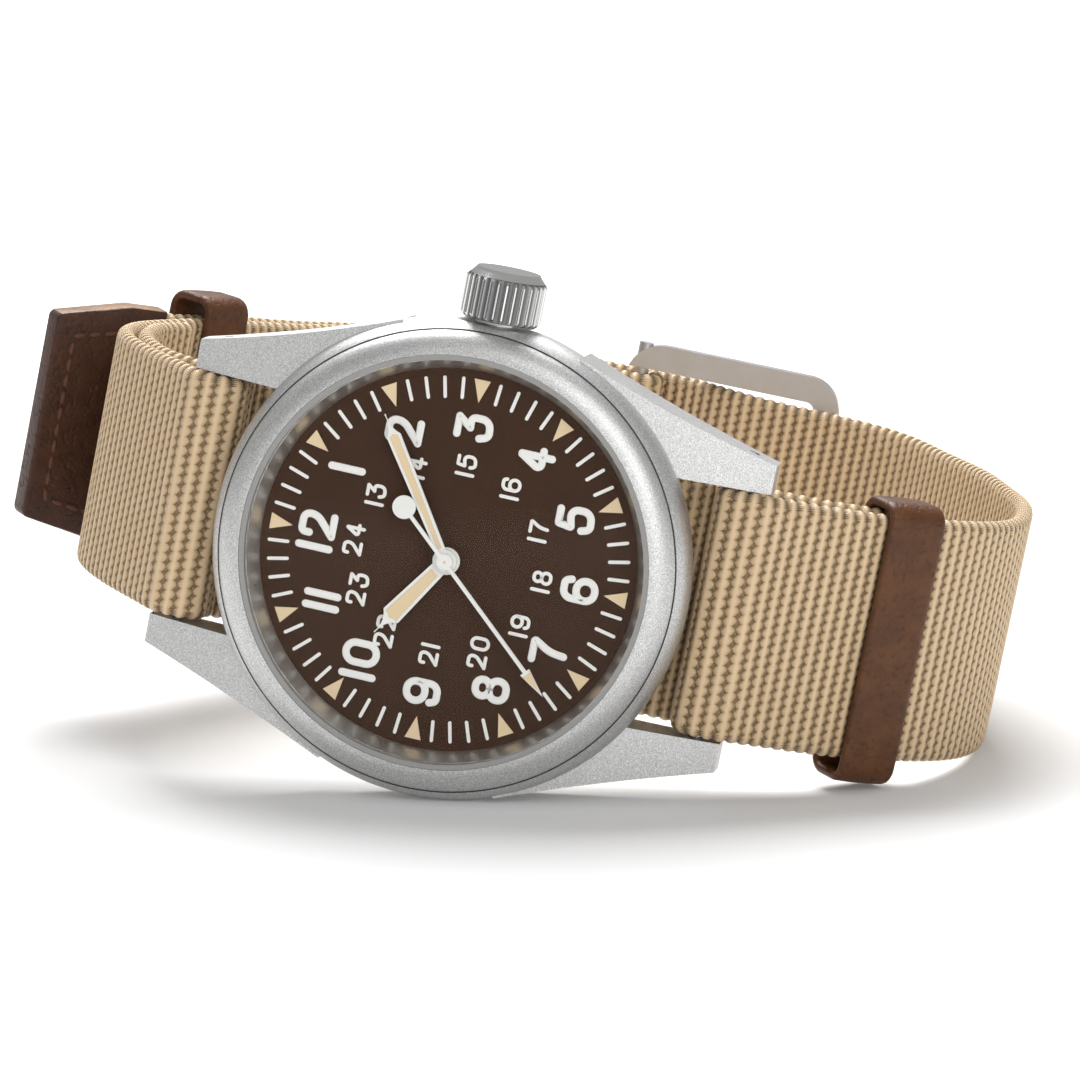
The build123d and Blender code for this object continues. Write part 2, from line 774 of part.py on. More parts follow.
with BuildSketch() as train_bridge_outline:
    Circle(bridge_radius)
    train_cut = polar(bridge_split_reach + bridge_radius - cloth_gap, bridge_split_angle)
    with Locations(Location(train_cut, bridge_split_angle)):
        Rectangle(2 * bridge_radius, 3 * bridge_radius, mode=Mode.SUBTRACT)
    with Locations(balance_place):
        Circle(balance_pocket_radius + 2 * wheel_thickness, mode=Mode.SUBTRACT)
    with Locations(cock_place):
        Circle(3.5 * jewel_radius, mode=Mode.SUBTRACT)
    with BuildLine() as cock_gap:
        Line(cock_place, balance_place)
    trace(cock_gap.edges(), line_width=4 * jewel_radius, mode=Mode.SUBTRACT)
# The balance pocket cuts a sliver off the rim, which is dropped here.
train_face = train_bridge_outline.sketch.faces().sort_by(SortBy.AREA)[-1]

with BuildPart() as train_bridge:
    with BuildSketch(spot(0, 0, bridge_level)):
        add(train_face)
    extrude(amount=-bridge_thickness)
    with BuildSketch(spot(0, 0, plate_bottom)):
        add(train_face)
        Circle(bridge_foot_radius, mode=Mode.SUBTRACT)
    extrude(amount=bridge_level - plate_bottom)
    for place in (third_place, escape_place):
        disc(place, bridge_level, jewel_radius, jewel_thickness, mode=Mode.SUBTRACT)
    disc(centre, bridge_level, jewel_radius, jewel_thickness, mode=Mode.SUBTRACT)
    screw_holes(train_screw_places)
keep(train_bridge, "train_bridge")

with BuildPart() as balance_cock:
    with BuildSketch(spot(0, 0, cock_level)):
        with Locations(balance_place):
            Circle(3 * jewel_radius)
        with Locations(cock_place):
            Circle(2.6 * jewel_radius)
        with BuildLine() as cock_arm:
            Line(cock_place, balance_place)
        trace(cock_arm.edges(), line_width=3 * jewel_radius)
    extrude(amount=bridge_bottom - cock_level)
    disc(cock_place, plate_bottom, 2.6 * jewel_radius, plate_bottom - cock_level)
    disc(balance_place, cock_level, jewel_radius, jewel_thickness, mode=Mode.SUBTRACT)
    screw_holes((cock_place,))
keep(balance_cock, "balance_cock")

with BuildPart() as fork_bridge:
    fork_bridge_level = escape_wheel_level - 1.6 * wheel_thickness
    with BuildSketch(spot(0, 0, fork_bridge_level)):
        with Locations(fork_foot_place, fork_place):
            Circle(jewel_radius)
        with BuildLine() as fork_arm:
            Line(fork_foot_place, fork_place)
        trace(fork_arm.edges(), line_width=jewel_radius)
        with Locations(fork_place):
            Circle(pivot_radius + run_gap, mode=Mode.SUBTRACT)
    extrude(amount=-wheel_thickness)
    disc(fork_foot_place, plate_bottom, jewel_radius, plate_bottom - fork_bridge_level)
keep(fork_bridge, "fork_bridge")

with BuildPart() as jewels:
    for place in (third_place, escape_place, fork_place, balance_place):
        disc(place, plate_bottom + jewel_thickness, jewel_radius, jewel_thickness, pivot_radius + run_gap)
    for place in (third_place, escape_place, centre):
        disc(place, bridge_level, jewel_radius, jewel_thickness, pivot_radius + run_gap)
    disc(balance_place, cock_level, jewel_radius, jewel_thickness, pivot_radius + run_gap)
keep(jewels, "jewels")

# Screws that hold the bridges, with slotted heads
with BuildPart() as bridge_screws:
    for place in (*barrel_screw_places, *train_screw_places, cock_place):
        disc(place, screw_tip_level, screw_radius, screw_tip_level - bridge_bottom)
        disc(place, bridge_bottom + screw_head_height, screw_head_radius, screw_head_height)
    with BuildSketch(spot(0, 0, bridge_bottom)) as slots:
        with Locations(*barrel_screw_places, *train_screw_places, cock_place):
            Rectangle(2 * screw_head_radius, screw_slot_width)
    extrude(slots.sketch, amount=screw_head_height / 2, mode=Mode.SUBTRACT)
keep(bridge_screws, "bridge_screws")

with BuildPart() as click:
    click_angle = heading(click_place, barrel_place)
    click_along = watch.x_dir * cos(radians(click_angle)) + watch.y_dir * sin(radians(click_angle))
    click_point = at(click_place[0], click_place[1], ratchet_level)
    click_plane = Plane(click_point, x_dir=click_along, z_dir=watch.z_dir)
    with BuildSketch(click_plane) as pawl:
        Circle(click_radius)
        Polygon(
            (0, click_radius), (0, -click_radius), (click_reach, 0), align=None,
        )
        Circle(2 * pivot_radius + run_gap, mode=Mode.SUBTRACT)
    extrude(pawl.sketch, amount=thin_gap - ratchet_height)
keep(click, "click")

# Going train
with BuildPart() as mainspring_barrel:
    toothed(
        barrel_place, barrel_tooth_level, barrel_radius, barrel_teeth, pinion_thickness - thin_gap,
        55 + 180,
    )
    disc(
        barrel_place, plate_bottom + barrel_pocket_depth - run_gap, barrel_radius - 3 * seat_gap,
        barrel_pocket_depth,
    )
    disc(
        barrel_place, plate_bottom + barrel_pocket_depth - run_gap - wheel_thickness,
        barrel_radius - 8 * seat_gap, barrel_pocket_depth + pinion_thickness, mode=Mode.SUBTRACT,
    )
    disc(
        barrel_place, plate_bottom + barrel_pocket_depth, 4 * pivot_radius + run_gap,
        barrel_pocket_depth, mode=Mode.SUBTRACT,
    )
keep(mainspring_barrel, "mainspring_barrel")

with BuildPart() as barrel_cover:
    disc(
        barrel_place, barrel_tooth_level - seat_gap, barrel_radius - 9 * seat_gap,
        pinion_thickness - thin_gap - seat_gap, 4 * pivot_radius + run_gap,
    )
keep(barrel_cover, "barrel_cover")

with BuildPart() as barrel_arbor:
    disc(barrel_place, plate_top - seat_gap, 4 * pivot_radius, plate_top - seat_gap - bridge_bottom)
    disc(
        barrel_place, plate_bottom + barrel_pocket_depth - 5 * seat_gap, 6 * pivot_radius,
        barrel_pocket_depth - 5 * seat_gap,
    )
keep(barrel_arbor, "barrel_arbor")

with BuildPart() as mainspring:
    coiled(
        barrel_place, plate_bottom + barrel_pocket_depth - 5 * seat_gap,
        8 * pivot_radius, 0.1 * barrel_radius, 12, wheel_thickness, barrel_pocket_depth - 6 * seat_gap,
    )
keep(mainspring, "mainspring")

with BuildPart() as centre_wheel:
    toothed(
        centre, centre_pinion_level, centre_pinion_radius, centre_pinion_teeth,
        centre_pinion_level - centre_wheel_level, 55, pivot_radius + run_gap,
    )
    toothed(
        centre, centre_wheel_level, centre_wheel_radius, centre_teeth,
        wheel_thickness, 200, pivot_radius + run_gap,
    )
    disc(
        centre, minute_hand_level, centre_arbor_radius,
        minute_hand_level - centre_pinion_level, pivot_radius + run_gap,
    )
    disc(
        centre, motion_floor - run_gap, centre_tube_radius,
        motion_floor - run_gap - centre_pinion_level, pivot_radius + run_gap,
    )
keep(centre_wheel, "centre_wheel")

with BuildPart() as third_wheel:
    disc(
        third_place, plate_bottom + jewel_thickness, pivot_radius,
        plate_bottom - bridge_level + 2 * jewel_thickness,
    )
    toothed(
        third_place, centre_pinion_level - 2 * wheel_thickness, third_pinion_radius,
        third_pinion_teeth, 2.4 * wheel_thickness, 20 + 180 / third_pinion_teeth,
    )
    toothed(third_place, third_wheel_level, third_wheel_radius, third_teeth, wheel_thickness, 20)
keep(third_wheel, "third_wheel")

with BuildPart() as fourth_wheel:
    disc(
        centre, seconds_hand_level + hand_thickness, pivot_radius,
        seconds_hand_level + hand_thickness - bridge_level + jewel_thickness,
    )
    toothed(centre, fourth_wheel_level, fourth_wheel_radius, fourth_teeth, wheel_thickness, 275)
    toothed(
        centre, third_wheel_level + wheel_thickness / 2, fourth_pinion_radius,
        fourth_pinion_teeth, 2 * wheel_thickness, 200 + 180 / fourth_pinion_teeth,
    )
keep(fourth_wheel, "fourth_wheel")

with BuildPart() as escape_wheel:
    disc(
        escape_place, plate_bottom + jewel_thickness, pivot_radius,
        plate_bottom - bridge_level + 2 * jewel_thickness,
    )
    toothed(
        escape_place, fourth_wheel_level + wheel_thickness / 2, escape_pinion_radius,
        escape_pinion_teeth, 2 * wheel_thickness, 95 + 180 / escape_pinion_teeth,
    )
    with BuildSketch(spot(escape_place[0], escape_place[1], escape_wheel_level)) as club_teeth:
        escape_pitch = 360 / escape_teeth
        teeth = []
        for tooth in range(escape_teeth):
            teeth.append(polar(0.78 * escape_radius, tooth * escape_pitch))
            teeth.append(polar(escape_radius, (tooth + 0.45) * escape_pitch))
            teeth.append(polar(escape_radius, (tooth + 0.55) * escape_pitch))
            teeth.append(polar(0.78 * escape_radius, (tooth + 0.3) * escape_pitch))
        Polygon(*teeth, align=None)
        with PolarLocations(0.42 * escape_radius, 4):
            Circle(0.2 * escape_radius, mode=Mode.SUBTRACT)
    extrude(club_teeth.sketch, amount=-wheel_thickness)
keep(escape_wheel, "escape_wheel")


def fork_plane(level):
    """Plane with its origin at the fork's pivot and its own x toward the balance."""
    sight = radians(fork_angle)
    along = watch.x_dir * cos(sight) + watch.y_dir * sin(sight)
    return Plane(at(fork_place[0], fork_place[1], level), x_dir=along, z_dir=watch.z_dir)


roller_radius = 0.45
impulse_pin_radius = 0.07
impulse_reach = 0.34
balance_distance = 1.4 * escape_radius
with BuildPart() as pallet_fork:
    with BuildSketch(fork_plane(escape_wheel_level)):
        Circle(2.4 * pivot_radius)
        with BuildLine() as lever:
            Line((0, 0), (balance_distance - 2 * roller_radius, 0))
            arm_end = (-0.3 * escape_radius, 0.6 * escape_radius)
            Polyline(arm_end, (0, 0), (arm_end[0], -arm_end[1]))
        trace(lever.edges(), line_width=1.4 * pivot_radius)
        with Locations((balance_distance - 1.7 * roller_radius, 0)):
            Rectangle(roller_radius, 1.2 * roller_radius)
        with Locations((balance_distance - impulse_reach, 0)):
            Rectangle(1.5 * roller_radius, impulse_reach, mode=Mode.SUBTRACT)
    extrude(amount=-wheel_thickness)
    disc(
        fork_place, plate_bottom + jewel_thickness, pivot_radius,
        plate_bottom + jewel_thickness - fork_bridge_level + wheel_thickness,
    )
keep(pallet_fork, "pallet_fork")

with BuildPart() as balance_wheel:
    disc(
        balance_place, plate_bottom + jewel_thickness, pivot_radius,
        plate_bottom + 2 * jewel_thickness - cock_level,
    )
    disc(
        balance_place, escape_wheel_level + 4 * wheel_thickness, roller_radius, 3 * wheel_thickness,
    )
    with BuildSketch(fork_plane(escape_wheel_level + wheel_thickness)) as impulse_pin:
        with Locations((balance_distance - impulse_reach, 0)):
            Circle(impulse_pin_radius)
    extrude(impulse_pin.sketch, amount=-2 * wheel_thickness)
    with BuildSketch(spot(balance_place[0], balance_place[1], balance_level)) as rim:
        Circle(balance_radius)
        Circle(0.88 * balance_radius, mode=Mode.SUBTRACT)
        Rectangle(1.9 * balance_radius, 0.14 * balance_radius)
        Circle(roller_radius)
    extrude(rim.sketch, amount=-wheel_thickness)
keep(balance_wheel, "balance_wheel")

with BuildPart() as hairspring:
    coiled(
        balance_place, hairspring_level, 2 * roller_radius, 0.1 * balance_radius, 8,
        wheel_thickness / 2, wheel_thickness / 2,
    )
keep(hairspring, "hairspring")

# Motion work under the dial
with BuildPart() as cannon_pinion:
    disc(
        centre, minute_hand_level + hand_thickness, cannon_outer,
        minute_hand_level + hand_thickness - motion_floor - run_gap,
        centre_arbor_radius + thin_gap,
    )
    toothed(
        centre, motion_floor + 1.6 * wheel_thickness, cannon_radius, cannon_teeth,
        1.2 * wheel_thickness, -100, centre_arbor_radius + thin_gap,
    )
keep(cannon_pinion, "cannon_pinion")

with BuildPart() as minute_wheel:
    toothed(
        motion_place, motion_floor + 1.4 * wheel_thickness, motion_radius, motion_teeth,
        wheel_thickness, 80 + 180 / motion_teeth, pivot_radius + run_gap,
    )
    toothed(
        motion_place, motion_floor + 3 * wheel_thickness, motion_pinion_radius, motion_pinion_teeth,
        1.6 * wheel_thickness, 80, pivot_radius + run_gap,
    )
keep(minute_wheel, "minute_wheel")

with BuildPart() as hour_wheel:
    toothed(
        centre, motion_floor + 3.1 * wheel_thickness, hour_wheel_radius, hour_teeth,
        1.2 * wheel_thickness, -100 + 180 / hour_teeth, hour_tube_bore,
    )
    disc(
        centre, hour_hand_level + hand_thickness, hour_tube_outer,
        hour_hand_level + hand_thickness - motion_floor - 3 * wheel_thickness, hour_tube_bore,
    )
keep(hour_wheel, "hour_wheel")

# Crown, stem and winding work
stem_start = stem_pilot_start + seat_gap


def stem_disc(start, length, radius, bore=0, mode=Mode.ADD):
    """Round piece or bore along the winding stem, in the part being made."""
    with BuildSketch(across(start, 0, stem_level)) as profile:
        Circle(radius)
        if bore:
            Circle(bore, mode=Mode.SUBTRACT)
    extrude(profile.sketch, amount=length, mode=mode)


crown_end_reach = crown_start + crown_length
with BuildPart() as crown:
    with BuildSketch(across(crown_start, 0, stem_level)):
        Circle(crown_radius)
        with PolarLocations(crown_radius, flute_count):
            Circle(flute_radius, mode=Mode.SUBTRACT)
    extrude(amount=crown_length)
    with BuildSketch(Plane(at(0, 0, stem_level), x_dir=watch.x_dir, z_dir=-watch.y_dir)) as crown_profile:
        Polygon(
            (crown_start, 0),
            (crown_start, crown_radius - crown_chamfer),
            (crown_start + crown_chamfer, crown_radius),
            (crown_end_reach - 2 * crown_chamfer, crown_radius),
            (crown_end_reach - crown_chamfer / 2, crown_face_radius + crown_chamfer / 3),
            (crown_end_reach, crown_face_radius),
            (crown_end_reach, 0),
            align=None,
        )
    revolve(crown_profile.sketch, axis=Axis(at(0, 0, stem_level), watch.x_dir), mode=Mode.INTERSECT)
    crown_cavity_radius = crown_tube_radius + 2 * seat_gap
    stem_disc(crown_start, crown_length / 2, crown_cavity_radius, mode=Mode.SUBTRACT)
    stem_disc(crown_start, 2 * crown_length / 3, stem_radius, mode=Mode.SUBTRACT)
keep(crown, "crown")

crown_tube_start = 16.6
crown_tube_end = 19.9
with BuildPart() as crown_tube:
    stem_disc(
        crown_tube_start, crown_tube_end - crown_tube_start, crown_tube_radius - thin_gap,
        crown_tube_bore,
    )
keep(crown_tube, "crown_tube")

with BuildPart() as crown_gasket:
    stem_disc(
        crown_tube_end + 3 * seat_gap, 8 * seat_gap, crown_cavity_radius - thin_gap,
        stem_radius + thin_gap,
    )
keep(crown_gasket, "crown_gasket")

with BuildPart() as winding_stem:
    stem_disc(stem_start, clutch_start - stem_start, stem_pilot_radius)
    with BuildSketch(across(clutch_start, 0, stem_level)) as stem_square:
        RectangleRounded(2 * stem_pilot_radius, 2 * stem_pilot_radius, seat_gap)
    extrude(stem_square.sketch, amount=clutch_length + crown_travel)
    stem_disc(
        winding_pinion_start - seat_gap,
        crown_start + 2 * crown_length / 3 - winding_pinion_start + seat_gap, stem_radius,
    )
keep(winding_stem, "winding_stem")

with BuildPart() as winding_pinion:
    with BuildSketch(across(winding_pinion_start, 0, stem_level)):
        Circle(winding_pinion_radius)
        with PolarLocations(winding_pinion_radius, 16):
            Circle(winding_pinion_radius / 12, mode=Mode.SUBTRACT)
        Circle(stem_radius + run_gap, mode=Mode.SUBTRACT)
    extrude(amount=winding_pinion_length)
keep(winding_pinion, "winding_pinion")

with BuildPart() as sliding_pinion:
    with BuildSketch(across(clutch_start + seat_gap, 0, stem_level)):
        Circle(clutch_radius)
        with PolarLocations(clutch_radius, 12):
            Circle(clutch_radius / 8, mode=Mode.SUBTRACT)
        Circle(sqrt(2) * stem_pilot_radius + run_gap, mode=Mode.SUBTRACT)
    extrude(amount=clutch_length)
keep(sliding_pinion, "sliding_pinion")

with BuildPart() as crown_wheel:
    toothed(
        crown_wheel_place, ratchet_level, crown_wheel_radius, crown_wheel_teeth, ratchet_height - thin_gap,
        heading(crown_wheel_place, barrel_place), 5 * pivot_radius + run_gap,
    )
keep(crown_wheel, "crown_wheel")

with BuildPart() as ratchet_wheel:
    toothed(
        barrel_place, ratchet_level, ratchet_radius, ratchet_teeth, ratchet_height - thin_gap,
        heading(barrel_place, crown_wheel_place) + 180 / ratchet_teeth, 4 * pivot_radius,
    )
keep(ratchet_wheel, "ratchet_wheel")

# Spring bars
with BuildPart() as spring_bars:
    for end in (-1, 1):
        for hand in (-1, 1):
            with BuildSketch(across(0, end * bar_reach, bar_level)) as tube:
                Circle(spring_bar_radius)
                Circle(spring_bar_bore, mode=Mode.SUBTRACT)
            extrude(tube.sketch, amount=hand * half_strap)
            lip_side = hand * (half_strap - spring_bar_lip)
            with BuildSketch(across(lip_side, end * bar_reach, bar_level)) as lip:
                Circle(spring_bar_radius)
                Circle(spring_tip_radius + run_gap, mode=Mode.SUBTRACT)
            extrude(lip.sketch, amount=hand * spring_bar_lip)
keep(spring_bars, "spring_bars")

tip_number = 0
for end in (1, -1):
    for hand in (1, -1):
        tip_number += 1
        with BuildPart() as spring_tip:
            with BuildSketch(across(hand * spring_tip_start, end * bar_reach, bar_level)) as pin:
                Circle(spring_tip_radius)
            extrude(pin.sketch, amount=hand * (spring_tip_reach - spring_tip_start))
            with BuildSketch(across(hand * spring_tip_start, end * bar_reach, bar_level)) as shoulder:
                Circle(spring_tip_shoulder_radius)
            extrude(shoulder.sketch, amount=hand * spring_tip_shoulder_length)
        keep(spring_tip, f"spring_bar_tip_{tip_number}")

# Strap. Its lines are seen from the 3 o'clock side: reach toward 12 o'clock and level.
pass_level = back_seat_level - back_thickness - ply_gap - ply_offset
bar_wrap = spring_bar_radius + 3 * seat_gap + ply_offset
lower_pass_level = pass_level - ply_gap - strap_thickness
bar_fold = 2 * ply_offset + 4 * seat_gap


def loop_points(*shares):
    """Places on the strap's loop from shares of its reach and of its drop."""
    return [(loop_reach * across_share, -loop_drop * down_share) for across_share, down_share in shares]


hem_shares = ((0.193, 1.0065),)
inner_run_shares = (
    (0.170, 0.979), (0.363, 0.955), (0.765, 0.507), (0.818, 0.398), (0.802, 0.258), (0.683, 0.147),
)
outer_run_shares = ((-0.751, 0.125), (-0.918, 0.211), (-1.0, 0.344), (-0.988, 0.532), (-0.855, 0.767))
buckle_run_shares = ((-0.630, 0.991), (-0.278, 0.994), (-0.145, 1.0495))
tail_shares = ((0.218, 1.031), (0.303, 1.009), (0.397, 0.967), (0.7985, 0.5196), (0.8815, 0.4804))
hem_line = loop_points(*hem_shares)
inner_line = loop_points(*inner_run_shares)
outer_line = loop_points(*outer_run_shares)
buckle_line = loop_points(*buckle_run_shares)
tail_line = loop_points(*tail_shares)
buckle_bar_level = -loop_drop
bar_turn = (
    (buckle_bar_reach - bar_fold, buckle_bar_level - bar_fold),
    (buckle_bar_reach - bar_fold, buckle_bar_level + bar_fold),
)
twelve_turn = (
    (bar_reach + bar_wrap, bar_level + bar_wrap),
    (bar_reach - bar_wrap, bar_level + bar_wrap),
    (bar_reach - bar_wrap, pass_level),
)
six_turn = (
    (bar_wrap - bar_reach, pass_level),
    (bar_wrap - bar_reach, bar_level + bar_wrap),
    (-bar_reach - bar_wrap, bar_level + bar_wrap),
)
strap_line = [
    *hem_line, *bar_turn, *inner_line, *twelve_turn, *six_turn, *outer_line, *buckle_line, *tail_line,
]
inner_bend_shares = (0.15, 0.225, 0.3, 0.3, 0.3, 0.3)
outer_bend_shares = (0.3, 0.3, 0.375, 0.525, 0.525)
buckle_bend_shares = (0.225, 0.225, 0.15)
tail_bend_shares = (0.15, 0.15, 0.15, 0.0975)
loop_bend_shares = outer_bend_shares + buckle_bend_shares + tail_bend_shares
strap_radii = [
    0.93 * bar_fold, 0.93 * bar_fold,
    *[share * loop_spread for share in inner_bend_shares],
    1.2 * fold_radius, fold_radius, fold_radius,
    fold_radius, fold_radius, 1.2 * fold_radius,
    *[share * loop_spread for share in loop_bend_shares],
]

with BuildPart() as main_strap:
    with BuildSketch(across(0)):
        with BuildLine() as strap_path:
            FilletPolyline(*strap_line, radius=strap_radii)
        trace(strap_path.edges(), line_width=strap_thickness)
    extrude(amount=half_strap, both=True)
    tongue_exit = (buckle_line[1][0] + buckle_line[2][0]) / 2
    with BuildSketch(spot(0, tongue_exit, buckle_bar_level + 2 * bar_fold)):
        SlotOverall(2.6 * tongue_slot_width, tongue_slot_width, rotation=90)
    extrude(amount=-4.4 * bar_fold, mode=Mode.SUBTRACT)
    with BuildSketch(spot(0, buckle_bar_reach - bar_fold / 2, buckle_bar_level + 1.55 * bar_fold)):
        Rectangle(tongue_slot_width - 4 * seat_gap, 3 * bar_fold)
    extrude(amount=-3.1 * bar_fold, mode=Mode.SUBTRACT)
    for hole in range(3):
        hole_share = 0.3 + 0.25 * hole
        hole_y = outer_line[4][0] + hole_share * (buckle_line[0][0] - outer_line[4][0])
        hole_z = outer_line[4][1] + hole_share * (buckle_line[0][1] - outer_line[4][1])
        run_rise = buckle_line[0][1] - outer_line[4][1]
        run_angle = degrees(atan2(run_rise, buckle_line[0][0] - outer_line[4][0]))
        bore_dir = watch.y_dir * -sin(radians(run_angle)) + watch.z_dir * cos(radians(run_angle))
        with BuildSketch(Plane(at(0, hole_y, hole_z), x_dir=watch.x_dir, z_dir=bore_dir)):
            Circle(strap_hole_radius)
        extrude(amount=2 * strap_thickness, both=True, mode=Mode.SUBTRACT)
keep(main_strap, "main_strap")

under_start_shares = ((0.745, 0.463), (0.780, 0.394), (0.763, 0.272), (0.651, 0.166))
under_end_shares = ((-0.7216, 0.147), (-0.862, 0.2145))
under_line = [
    *loop_points(*under_start_shares),
    (bar_reach, lower_pass_level),
    (-bar_reach, lower_pass_level),
    *loop_points(*under_end_shares),
]
with BuildPart() as under_strap:
    with BuildSketch(across(0)):
        with BuildLine() as under_path:
            FilletPolyline(
                *under_line,
                radius=[*3 * [4 * fold_radius], *3 * [3 * fold_radius]],
            )
        trace(under_path.edges(), line_width=strap_thickness)
    extrude(amount=half_strap, both=True)
keep(under_strap, "under_strap")


def band(place, heading_shares, shift):
    """Leather band round two plies, pushed along the strap's width, in the part being made."""
    lengthwise = watch.y_dir * heading_shares[0] + watch.z_dir * heading_shares[1]
    inner_height = 2 * strap_thickness + ply_gap + 2 * band_play
    inner_width = strap_width + 2 * band_slack
    with BuildSketch(Plane(at(shift, place[0], place[1]), x_dir=watch.x_dir, z_dir=lengthwise)) as section:
        RectangleRounded(
            inner_width + 2 * band_thickness, inner_height + 2 * band_thickness, band_thickness + band_slack
        )
        RectangleRounded(inner_width, inner_height, band_slack, mode=Mode.SUBTRACT)
    extrude(section.sketch, amount=band_length / 2, both=True)


loop_place_shares = ((-0.8015, 0.1687),)
keeper_place_shares = ((0.742, 0.559),)
with BuildPart() as leather_loop:
    band(loop_points(*loop_place_shares)[0], (-0.793, -0.61), -loop_sag)
keep(leather_loop, "leather_loop")

with BuildPart() as leather_keeper:
    band(loop_points(*keeper_place_shares)[0], (0.502, 0.865), keeper_rise)
keep(leather_keeper, "leather_keeper")

# Leather tip, a sleeve over the strap's end
tip_start = tail_line[3]
tip_finish = tail_line[4]
tail_run = hypot(tip_finish[0] - tip_start[0], tip_finish[1] - tip_start[1])
tip_direction = ((tip_finish[0] - tip_start[0]) / tail_run, (tip_finish[1] - tip_start[1]) / tail_run)
tip_root = (tip_finish[0] - tip_insert * tip_direction[0], tip_finish[1] - tip_insert * tip_direction[1])
tip_along = watch.y_dir * tip_direction[0] + watch.z_dir * tip_direction[1]
tip_normal = watch.x_dir.cross(tip_along)
with BuildPart() as leather_tip:
    tip_base = at(0, tip_root[0], tip_root[1])
    with BuildSketch(Plane(tip_base, x_dir=watch.x_dir, z_dir=tip_normal)) as tip_face:
        with BuildLine():
            FilletPolyline(
                (-half_strap - ply_gap, 0),
                (-half_strap - ply_gap, tip_length / 3),
                (-tip_end_width / 2, tip_length),
                (tip_end_width / 2, tip_length),
                (half_strap + ply_gap, tip_length / 3),
                (half_strap + ply_gap, 0),
                radius=[tip_corner_radius, tip_corner_radius, tip_corner_radius, tip_corner_radius],
            )
            Line((half_strap + ply_gap, 0), (-half_strap - ply_gap, 0))
        make_face()
    extrude(tip_face.sketch, amount=tip_thickness / 2, both=True)
    with BuildSketch(Plane(at(0, tip_root[0], tip_root[1]), x_dir=watch.x_dir, z_dir=tip_along)) as pocket:
        Rectangle(strap_width + 2 * thin_gap, strap_thickness + 2 * thin_gap)
    extrude(pocket.sketch, amount=tip_insert + thin_gap, mode=Mode.SUBTRACT)
keep(leather_tip, "leather_tip")

# Buckle
far_bar_drop = 0.0708
buckle_along = watch.y_dir * -cos(far_bar_drop) + watch.z_dir * -sin(far_bar_drop)
buckle_plane = Plane(
    at(0, buckle_bar_reach, buckle_bar_level), x_dir=watch.x_dir, z_dir=watch.x_dir.cross(buckle_along)
)
with BuildPart() as buckle_frame:
    with BuildSketch(buckle_plane):
        with Locations((0, (buckle_length - buckle_heel) / 2)):
            RectangleRounded(buckle_width, buckle_length + buckle_heel, buckle_corner_radius)
        inner_width = buckle_width - 2 * buckle_side_width
        with Locations((0, (buckle_length - buckle_far_width - buckle_heel - overrun) / 2)):
            RectangleRounded(
                inner_width, buckle_length - buckle_far_width + buckle_heel + overrun,
                buckle_corner_radius / 4, mode=Mode.SUBTRACT,
            )
    extrude(amount=buckle_thickness / 2, both=True)
    with BuildSketch(across(0, buckle_bar_reach, buckle_bar_level)):
        Circle(buckle_bar_radius)
    extrude(amount=buckle_width, both=True, mode=Mode.SUBTRACT)
keep(buckle_frame, "buckle_frame")

with BuildPart() as buckle_bar:
    with BuildSketch(across(0, buckle_bar_reach, buckle_bar_level)):
        Circle(buckle_bar_radius)
    extrude(amount=buckle_width / 2 - seat_gap, both=True)
keep(buckle_bar, "buckle_bar")

tongue_root = (buckle_bar_reach - tongue_ring_radius * 0.75, buckle_bar_level - tongue_ring_radius * 0.75)
far_bar_place = (
    buckle_bar_reach - (buckle_length - buckle_far_width / 2) * cos(far_bar_drop),
    buckle_bar_level - (buckle_length - buckle_far_width / 2) * sin(far_bar_drop),
)
tongue_tip = (
    far_bar_place[0] - tongue_lead,
    far_bar_place[1] - buckle_thickness / 2 - tongue_thickness / 2 - 4 * seat_gap,
)
with BuildPart() as buckle_tongue:
    with BuildSketch(across(0)) as tongue_side:
        with BuildLine() as tongue_path:
            Line(tongue_root, tongue_tip)
        trace(tongue_path.edges(), line_width=tongue_thickness)
        with Locations((buckle_bar_reach, buckle_bar_level)):
            Circle(tongue_ring_radius)
            Circle(buckle_bar_radius + run_gap, mode=Mode.SUBTRACT)
    extrude(tongue_side.sketch, amount=tongue_width / 2, both=True)
keep(buckle_tongue, "buckle_tongue")
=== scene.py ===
"""Looks of a field watch: blasted steel, woven strap, brown leather and dial numbers."""

import json
from math import cos, pi, radians, sin, tan

import bmesh
import bpy
from mathutils import Matrix, Vector
from mathutils.geometry import interpolate_bezier


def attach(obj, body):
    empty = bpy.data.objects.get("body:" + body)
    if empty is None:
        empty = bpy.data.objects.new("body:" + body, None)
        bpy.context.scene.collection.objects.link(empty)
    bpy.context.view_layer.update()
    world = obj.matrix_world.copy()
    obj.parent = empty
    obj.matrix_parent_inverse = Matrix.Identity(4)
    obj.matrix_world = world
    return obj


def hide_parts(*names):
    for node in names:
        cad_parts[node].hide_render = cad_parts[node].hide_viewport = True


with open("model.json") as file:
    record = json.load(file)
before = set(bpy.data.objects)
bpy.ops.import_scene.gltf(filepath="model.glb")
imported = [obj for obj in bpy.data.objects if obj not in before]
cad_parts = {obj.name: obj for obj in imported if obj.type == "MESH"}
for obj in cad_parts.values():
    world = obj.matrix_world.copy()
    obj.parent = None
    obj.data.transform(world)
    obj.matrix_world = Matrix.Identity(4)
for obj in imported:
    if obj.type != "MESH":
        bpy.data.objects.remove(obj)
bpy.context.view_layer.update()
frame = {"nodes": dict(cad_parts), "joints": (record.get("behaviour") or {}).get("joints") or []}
MM = 0.001

